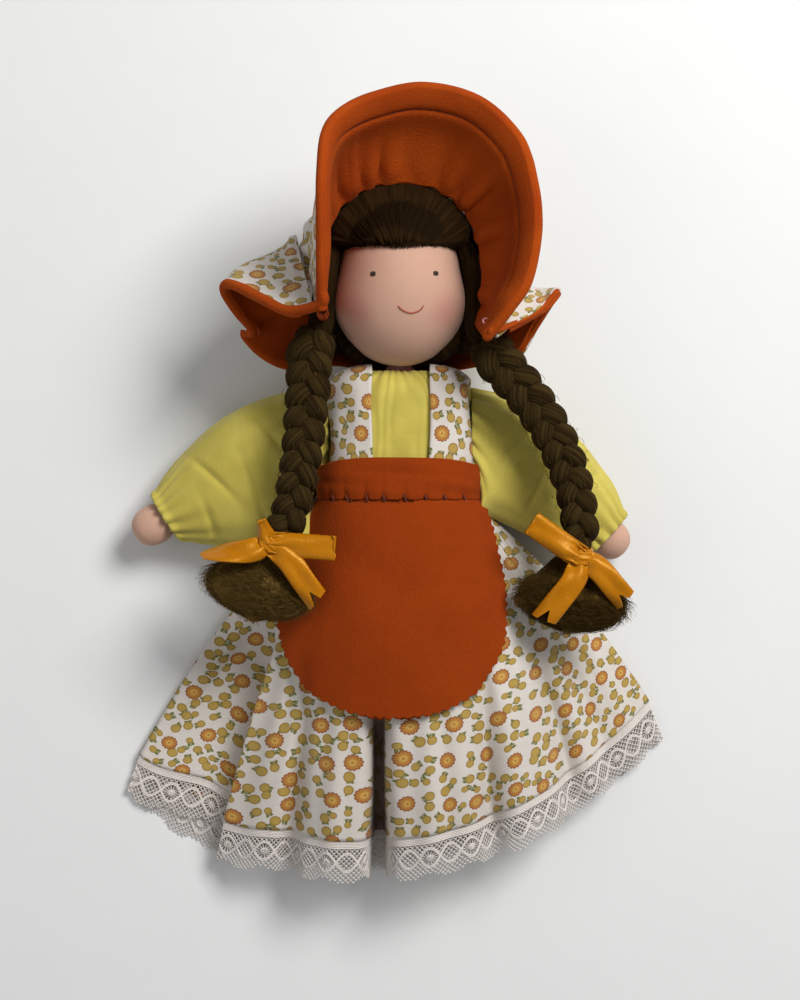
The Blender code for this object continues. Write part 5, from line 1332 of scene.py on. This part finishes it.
def makeHair():
    # cap outside the head with combed streaks, tucked in at its edge, and loose fibres at the hairline
    hair = {"ring": 1.98, "thick": 0.0034, "line": 0.0748, "streaks": 50, "streak": 0.00020, "nape": 1.25, "fringe": 1500,
            "fringeDrop": 0.085, "fibre": 0.00011}
    angles = ringTurns(400)
    line = (hair["line"] - headPlace[1]) / (headSize[1] / 2 + hair["thick"])

    def edgeAt(angle):
        lift = np.maximum(np.sin(angle), line)
        edge = math.pi - np.arcsin(np.clip(line / lift, -1, 1))
        low = np.clip(-np.sin(angle), 0, 1)
        side = math.pi / 2 + 0.10
        return np.where(np.sin(angle) < line, side + (hair["nape"] - side) * smoothStep((low - 0.80) / 0.20), np.maximum(edge, side))

    shares = np.concatenate((np.linspace(0.02, 1.0, 64), (1.004, 1.004, 1.0)))
    outs = np.concatenate((np.full(64, hair["thick"]), (hair["thick"] * 0.6, hair["thick"] * 0.2, -0.0010)))
    share, angle = np.meshgrid(shares, angles, indexing="ij")
    near = np.clip((share - 0.80) / 0.2, 0, 1)
    outside = outs[:, None] * (1 - 0.35 * smoothStep(near))
    comb = ripple(angle / math.tau * hair["streaks"] / 6, share * 0.5, 71, 1, 6, 14)
    lumps = ripple(angle / math.tau * 6, share * 2, 72, 0.6, 2.0)
    outside = outside + (hair["streak"] * comb + 0.0004 * lumps) * smoothStep(share * 6) * (outside > 0)
    ring = bump(edgeAt(angle) * share, hair["ring"], 0.17) * smoothStep(np.sin(angle) * 2 + 0.8)
    outside = outside + (0.0024 + 0.0012 * np.abs(np.cos(angle))) * ring * (outside > 0)
    ragged = 1.0 + 0.012 * ripple(angle / math.tau * 30, 0 * angle, 73, 1, 3)
    grid = headPoint(angle, edgeAt(angle) * share * np.where(share > 0.9, ragged, 1.0), outside)
    piece = clothPiece("hairCap", grid, 0.0006, wrap=True, capStart=False)
    dress(piece, "hair", "head", "hair", "hair_cap")

    rng = np.random.default_rng(81)
    start = rng.uniform(math.radians(8), math.radians(172), hair["fringe"])
    length = rng.uniform(0.35, 0.55, hair["fringe"])
    over = rng.uniform(0.25, 1.0, hair["fringe"]) ** 2 * hair["fringeDrop"]
    step = np.linspace(0, 1, 9)[None]
    polar = edgeAt(start)[:, None] - length[:, None] * (1 - step) + over[:, None] * step
    lean = rng.normal(0, 0.018, hair["fringe"])[:, None] * step ** 1.5
    out = hair["thick"] * (1.02 - 0.30 * step) + rng.uniform(-0.0004, 0.0006, hair["fringe"])[:, None] - 0.0019 * step ** 3
    paths = headPoint(start[:, None] + lean, polar, out)
    dress(tubes("fringe", paths, hair["fibre"] * (1.1 - 0.7 * step ** 2), 4), "hair", "head", "hair")

    # locks drawn down beside the face to the plaits
    for number, (side, points) in enumerate((
            (-1.0, ((-0.0165, 0.0790, 0.0330), (-0.0205, 0.0700, 0.0350), (-0.0222, 0.0600, 0.0340), (-0.0232, 0.0520, 0.0345),
                    (-0.0246, 0.0485, 0.0362))),
            (1.0, ((0.0165, 0.0790, 0.0330), (0.0205, 0.0700, 0.0340), (0.0222, 0.0600, 0.0325), (0.0226, 0.0520, 0.0335),
                   (0.0243, 0.0455, 0.0362))),
            (-1.0, ((-0.0120, 0.0500, 0.0125), (-0.0165, 0.0475, 0.0185), (-0.0205, 0.0470, 0.0260), (-0.0238, 0.0475, 0.0325))),
            (1.0, ((0.0120, 0.0500, 0.0125), (0.0165, 0.0475, 0.0185), (0.0205, 0.0470, 0.0260), (0.0236, 0.0462, 0.0325))))):
        path = resample(through(points, np.linspace(0, 1, 80)), 120)[None]
        grow = 0.0024 + 0.0012 * smoothStep(np.linspace(0, 1.3, 120))
        ease = np.minimum(np.minimum(np.linspace(0.2, 6, 120), np.linspace(6, 0.5, 120)), 1.0) ** 0.5
        piece = tubes("lock%d" % (number + 1), path, (grow * ease)[None], 28, relief=woolRelief(0.10, 9, 90.0, 75 + number))
        dress(piece, "hair", "head", "hair")


def woolRelief(depth, ridges, twist, seed):
    # grooves of spun wool: ridges that turn along the strand, uneven by a slow ripple
    def factor(turn, run):
        uneven = ripple(turn / math.tau * 2, run * 40, seed, 1, 3)
        return 1.0 + depth * (0.5 * np.cos(ridges * turn + twist * run + 1.5 * uneven) + 0.6 * uneven)
    return factor


# Plaits, tufts and bows
plait = {"level": 0.0362, "width": 0.0146, "endWidth": 0.0112, "depth": 0.0116, "period": 0.0196, "tie": 0.0033,
         "fuzz": 800, "fibre": 0.000065,
         "right": {"route": ((-0.0246, 0.0490), (-0.0262, 0.0430), (-0.0270, 0.0293), (-0.0293, 0.0088),
                             (-0.0328, -0.0060), (-0.0375, -0.0122)),
                   "tuftAim": math.radians(-104), "tuftWidth": 0.0300, "tuftLength": 0.0165,
                   "loops": ((-4.0, 0.0195, 1.0), (106.0, 0.0072, 0.60)), "bowAt": 0.0005, "tails": ((189.0, 0.0185, 0.0010, 1.15, False), (-50.0, 0.0230, 0.0006, 0.10, True))},
         "left": {"route": ((0.0241, 0.0459), (0.0293, 0.0396), (0.0381, 0.0293), (0.0454, 0.0176), (0.0500, 0.0059),
                            (0.0522, -0.0050), (0.0524, -0.0150)),
                  "tuftAim": math.radians(-100), "tuftWidth": 0.0310, "tuftLength": 0.0170,
                  "loops": ((145.0, 0.0180, 1.0),), "bowAt": 0.0018, "tails": ((-44.0, 0.0190, 0.0010, 0.25, True), (-122.0, 0.0222, 0.0008, 0.10, True))}}


def makePlait(sideName):
    # three strands: each swings side to side as a sine and over and under at twice the rate
    own = plait[sideName]
    points = np.array([(x, y, plait["level"]) for x, y in own["route"]])
    middle = resample(through(points, np.linspace(0, 1, 300)), 440)
    along = np.gradient(middle, axis=0)
    along /= np.linalg.norm(along, axis=1, keepdims=True)
    beside = np.stack((-along[:, 1], along[:, 0], np.zeros(len(middle))), axis=-1)
    run = np.concatenate(((0.0,), np.cumsum(np.linalg.norm(np.diff(middle, axis=0), axis=1))))
    share = run / run[-1]
    phase = run / plait["period"] * math.tau + np.arange(3)[:, None] * math.tau / 3
    width = plait["width"] + (plait["endWidth"] - plait["width"]) * share
    open1 = smoothStep(share / 0.08 + 0.25) * smoothStep((1.0 - share) / 0.07 + 0.05)
    strand = width * 0.240 * (0.66 + 0.46 * (0.5 + 0.5 * np.sin(2 * phase)) ** 0.8)
    strand = 0.0019 + (strand - 0.0019) * open1
    swing = (width / 2 - width * 0.245) * open1 + 0.0011 * (1 - open1)
    lift = (plait["depth"] / 2 - width * 0.225) * open1
    paths = middle[None] + beside[None] * (swing * np.sin(phase))[..., None]
    paths[..., 2] += lift * np.sin(2 * phase)
    piece = tubes("plait" + sideName.title(), paths, strand, 26, relief=woolRelief(0.022, 6, 240.0, 91))
    dress(piece, "plait", "plait_" + sideName, "hair", "plait_" + sideName)

    rng = np.random.default_rng(93)
    pick = rng.integers(15, 425, plait["fuzz"])
    which = rng.integers(0, 3, plait["fuzz"])
    turn = rng.uniform(0, math.tau, plait["fuzz"])
    out = beside[pick] * np.cos(turn)[:, None] + np.array((0, 0, 1.0)) * np.sin(turn)[:, None]
    base = paths[which, pick] + out * strand[which, pick][:, None] * 0.9
    step = np.linspace(0, 1, 7)[None, :, None]
    run1 = along[pick][:, None] * rng.uniform(-0.0035, 0.0035, plait["fuzz"])[:, None, None] * step
    hop = out[:, None] * (0.0013 * rng.uniform(0.3, 1, plait["fuzz"]))[:, None, None] * np.sin(step * math.pi * 0.8)
    piece = tubes("plaitFuzz" + sideName.title(), base[:, None] + run1 + hop, plait["fibre"], 3, (0.3, 0.2, 0.9))
    dress(piece, "tuft", "plait_" + sideName, "hair")
    return middle[-1], along[-1]


def makeTuft(sideName, end, along):
    # loose wool: a lumpy fan of rings, covered with fibres that run from the tie to past its rim
    own = plait[sideName]
    tuft = {"depth": 0.0104, "lumps": 0.0017, "fibres": 2700, "fibre": 0.000062, "stray": 0.0046,
            "finish": {"right": "tuft", "left": "darkTuft"}}
    aim = np.array((math.cos(own["tuftAim"]), math.sin(own["tuftAim"]), 0.0))
    beside = np.array((-aim[1], aim[0], 0.0))
    stations = np.array((0.0, 0.10, 0.24, 0.42, 0.62, 0.80, 0.92, 1.0))
    widths = np.array((0.22, 0.50, 0.82, 0.97, 1.0, 0.90, 0.68, 0.30))
    start = end + along * 0.0012

    def tuftPoint(share, turn, out):
        wide = np.interp(share, stations, widths)
        wide = wide * 0.2 + 0.8 * np.sin(np.clip(share * 0.93 + 0.07, 0, 1) * math.pi) ** 0.55
        lobe = 1.0 + 0.02 * np.cos(turn * 2.0) * share
        half = (wide * own["tuftWidth"] / 2 + out) * np.cos(turn)
        tall = (np.maximum(wide, 0.3) * tuft["depth"] / 2 + out) * np.sin(turn)
        reach = own["tuftLength"] * share * lobe + 0.0050 * np.minimum(share * 8, 1)
        point = start + aim * reach[..., None] + beside * half[..., None]
        point[..., 2] += tall
        return point

    share, turn = np.meshgrid(np.linspace(0, 1, 60), ringTurns(120), indexing="ij")
    lumps = ripple(turn / math.tau * 5, share * 1.5, 101 + len(sideName), 0.6, 2.2) * tuft["lumps"]
    streaks = ripple(turn / math.tau * 30, share, 102, 1, 3) * 0.0003
    piece = gridPiece("tuft" + sideName.title(), tuftPoint(share, turn, (lumps + streaks) * smoothStep(share * 4) - 0.0008), True, True, True)
    dress(piece, tuft["finish"][sideName], "plait_" + sideName, "hair", sideName + "_plait_tuft")

    rng = np.random.default_rng(103)
    number = tuft["fibres"]
    step = np.linspace(0, 1, 8)[None]
    first = rng.uniform(0.0, 0.75, number)[:, None]
    last = first + rng.uniform(0.15, 0.45, number)[:, None]
    turn = rng.uniform(0, math.tau, number)[:, None] + rng.normal(0, 0.45, number)[:, None] * step
    turn = turn + 0.12 * np.sin(step * rng.uniform(6, 14, number)[:, None] + rng.uniform(0, 6, number)[:, None])
    out = -0.0004 + tuft["stray"] * rng.uniform(0, 1, number)[:, None] ** 1.8 * step ** 1.5
    out = out + 0.0005 * np.sin(step * rng.uniform(4, 9, number)[:, None] + rng.uniform(0, 6, number)[:, None])
    out = out * (1.0 - 0.5 * np.clip(np.sin(turn), 0, 1)) + 0.0001 * rng.uniform(-2, 4, number)[:, None]
    share = np.minimum(first + (last - first) * step, 1.10)
    paths = tuftPoint(share, turn, out)
    paths[..., 2] = np.maximum(paths[..., 2], 0.0005)
    piece = tubes("tuftFibres" + sideName.title(), paths, tuft["fibre"] * (1.15 - 0.7 * step ** 2), 3, (0.3, 0.2, 0.9))
    dress(piece, tuft["finish"][sideName], "plait_" + sideName, "hair")


def ribbonGrid(path, width, roll, notch, pinch, waist, rows=110, columns=19):
    # strip: the width carried across the path, rolled, pinched at the knot, cut to a swallow tail
    side = np.linspace(-1, 1, columns)[None]
    cutBack = notch * np.clip(1.0 - np.abs(side + 0.1) / 0.42, 0, 1) if notch > 0 else notch * (1.0 - np.abs(side))
    share = np.linspace(0, 1, rows)[:, None] * (1.0 - cutBack - 0.05 * (side + 1) * (notch > 0))
    fine = resample(path, 400)
    place = share * 399
    low = np.minimum(place.astype(int), 398)
    step = (place - low)[..., None]
    middle = fine[low] * (1 - step) + fine[low + 1] * step
    along = np.gradient(fine, axis=0)
    along /= np.linalg.norm(along, axis=1, keepdims=True)
    flat = np.stack((-along[:, 1], along[:, 0], np.zeros(400)), axis=-1)
    flat /= np.maximum(np.linalg.norm(flat, axis=1, keepdims=True), 1e-9)
    flat = flat * np.where((flat @ flat[20]) < 0, -1, 1)[:, None]
    over = np.cross(along, flat)
    turn = roll * np.linspace(0, 1, 400)[:, None] ** 1.3
    across = (flat * np.cos(turn) + over * np.sin(turn))[low]
    near = smoothStep(share / max(pinch, 1e-6)) if pinch else np.ones_like(share)
    picot = 0.00004 * np.sin(share * rows * 0.9) * (np.abs(side) > 0.99)
    half = width / 2 * (waist + (1.0 - waist) * near) * side + picot * np.sign(side)
    curl = 0.0008 * np.cos(side * math.pi * 1.8) * (1 - near) - 0.0011 * side ** 2 * near
    curl = curl + 0.00035 * np.sin(share * 8.0 + side * 2.2) + 0.0003 * np.sin(side * 4.0 - share * 3.0)
    return middle + across * half[..., None] + over[low] * curl[..., None]


def makeBow(sideName, end, along):
    own = plait[sideName]
    bow = {"width": 0.0070, "thick": 0.00032, "knot": (0.0030, 0.0026, 0.0013), "band": 0.0038, "lift": 0.0030}
    middle = end + along * own["bowAt"]
    top = middle + np.array((0, 0, bow["band"] + 0.0030))
    pieces = []
    for aim, reach, part in own["loops"]:
        turn = math.radians(aim)
        way = np.array((math.cos(turn), math.sin(turn), 0.0))
        bend = np.linspace(0, 1, 60)
        out = reach * np.where(bend < 0.5, np.sin(bend * math.pi) ** 0.8, np.sin(bend * math.pi) ** 0.9)
        rise = bow["lift"] * (0.15 + 0.85 * np.sin(np.clip(bend * 2, 0, 1) * math.pi * 0.5)) * (bend < 0.5)
        rise = np.where(bend < 0.5, bow["lift"] * np.sin(bend * math.pi) ** 1.2 * 0.75 + 0.0009,
                        bow["lift"] * (np.sin(bend * math.pi) ** 1.2 * 0.75 + 0.3) - 0.0022 * smoothStep((bend - 0.5) * 6))
        path = top + way * out[:, None] + np.array((0, 0, 1.0)) * rise[:, None]
        width = bow["width"] * (1.0 - 1.6 * (1.0 - part) * np.sin(np.linspace(0, math.pi, 110))[:, None])
        pieces.append(ribbonGrid(path, width, 0.0, 0.0, 0.16, 0.66))
    for aim, reach, droop, roll, cut in own["tails"]:
        turn = math.radians(aim)
        way = np.array((math.cos(turn), math.sin(turn), 0.0)) * reach
        bent = np.array((-math.sin(turn), math.cos(turn), 0.0)) * reach * 0.06
        path = through((top, top + way * 0.3 + bent + (0, 0, 0.0018), top + way * 0.65 + bent * 0.5 + (0, 0, 0.0012),
                        top + way - (0, 0, droop)), np.linspace(0, 1, 60))
        pieces.append(ribbonGrid(path, bow["width"], roll, 0.17 if cut else -0.10, 0.20, 0.82 if cut else 0.60))
    flats = [gridPiece("ribbon%d" % k, grid) for k, grid in enumerate(pieces)]
    flatPiece = joined("bow" + sideName.title(), flats)
    shell = flatPiece.modifiers.new("thickness", "SOLIDIFY")
    shell.thickness = bow["thick"]
    shell.offset = 0.0
    dress(flatPiece, "satin", "plait_" + sideName, "satin", "hair_ribbon_" + sideName)

    polar, turn = np.meshgrid(np.linspace(0.05, math.pi - 0.05, 30), ringTurns(60), indexing="ij")
    radius = 1.0 + 0.09 * np.sin(polar * 9 + np.cos(turn)) + 0.06 * np.sin(turn * 3 + 1.0) * np.sin(polar) ** 2
    beside = np.array((-along[1], along[0], 0.0))
    knot = (top + (0, 0, 0.0004) + beside * (bow["knot"][0] * radius * np.sin(polar) * np.cos(turn))[..., None]
            + along * (bow["knot"][1] * radius * np.cos(polar))[..., None])
    knot[..., 2] += bow["knot"][2] * radius * np.sin(polar) * np.sin(turn)
    dress(gridPiece("knot" + sideName.title(), knot, True, True, True), "satin", "plait_" + sideName, "satin")
    across = np.linspace(-1, 1, 13)
    turn, side = np.meshgrid(ringTurns(80), across, indexing="xy")
    wide = 0.0026 + 0.0003 * np.sin(turn * 5)
    ring = (middle + beside * ((bow["band"] + 0.0002 * np.cos(side * 9)) * np.cos(turn))[..., None] + along * (wide * side)[..., None])
    ring[..., 2] += (bow["band"] + 0.0002 * np.cos(side * 9)) * np.sin(turn)
    dress(clothPiece("bowBand" + sideName.title(), ring, bow["thick"], wrap=True), "satin", "plait_" + sideName, "satin")


makeTorso()
makeLegs()
makeArms()
makeSleeves()
makeWaistband()
makeApron()
makeLace()
print("limbs, sleeves, apron and lace made")
makeHead()
makeHair()
for sideName in ("right", "left"):
    end, along = makePlait(sideName)
    makeTuft(sideName, end, along)
    makeBow(sideName, end, along)
print("head, hair and bows made")


# Floor, lights and camera
def makeStage():
    stage = {"floor": 1.6, "floorColour": (0.72, 0.72, 0.705, 1), "camera": (0.0, 0.0, 0.620), "lens": 72.0,
             "key": ((0.42, 0.46, 0.70), 0.36, 9.2), "fill": ((-0.60, -0.20, 0.70), 0.9, 1.4), "sky": 0.30}
    half = stage["floor"] / 2
    corners = np.array(((-half, -half, 0), (half, -half, 0), (half, half, 0), (-half, half, 0)), float)
    corners[:, 2] = -0.0002
    floor = putMesh("floor", corners, [[0, 1, 2, 3]], shift=False)
    material, tree, shader = newFinish("paleFloor", 0.85)
    fuzz = useGroup(tree, woolFuzz, {"Vector": objectPlace(tree), "Size": 0.02, "Depth": 0.05})
    feed(tree, shader.inputs["Base Color"], shaded(tree, stage["floorColour"], fuzz["Shade"]))
    floor.data.materials.append(material)
    for name in ("key", "fill"):
        place, size, power = stage[name]
        lamp = bpy.data.lights.new(name, "AREA")
        lamp.size = size
        lamp.energy = power
        light = bpy.data.objects.new(name, lamp)
        light.location = place
        light.rotation_euler = (-light.location).to_track_quat("-Z", "Y").to_euler()
        bpy.context.scene.collection.objects.link(light)
    world = bpy.data.worlds.new("studio")
    world.use_nodes = True
    world.node_tree.nodes["Background"].inputs["Color"].default_value = (0.95, 0.97, 1.0, 1)
    world.node_tree.nodes["Background"].inputs["Strength"].default_value = stage["sky"]
    bpy.context.scene.world = world
    bpy.context.scene.view_settings.view_transform = "Standard"
    lens = bpy.data.cameras.new("photoView")
    lens.lens = stage["lens"]
    camera = bpy.data.objects.new("photoView", lens)
    camera.location = np.array(stage["camera"]) + dollShift
    bpy.context.scene.collection.objects.link(camera)
    bpy.context.scene.camera = camera


makeStage()
print("stage made")
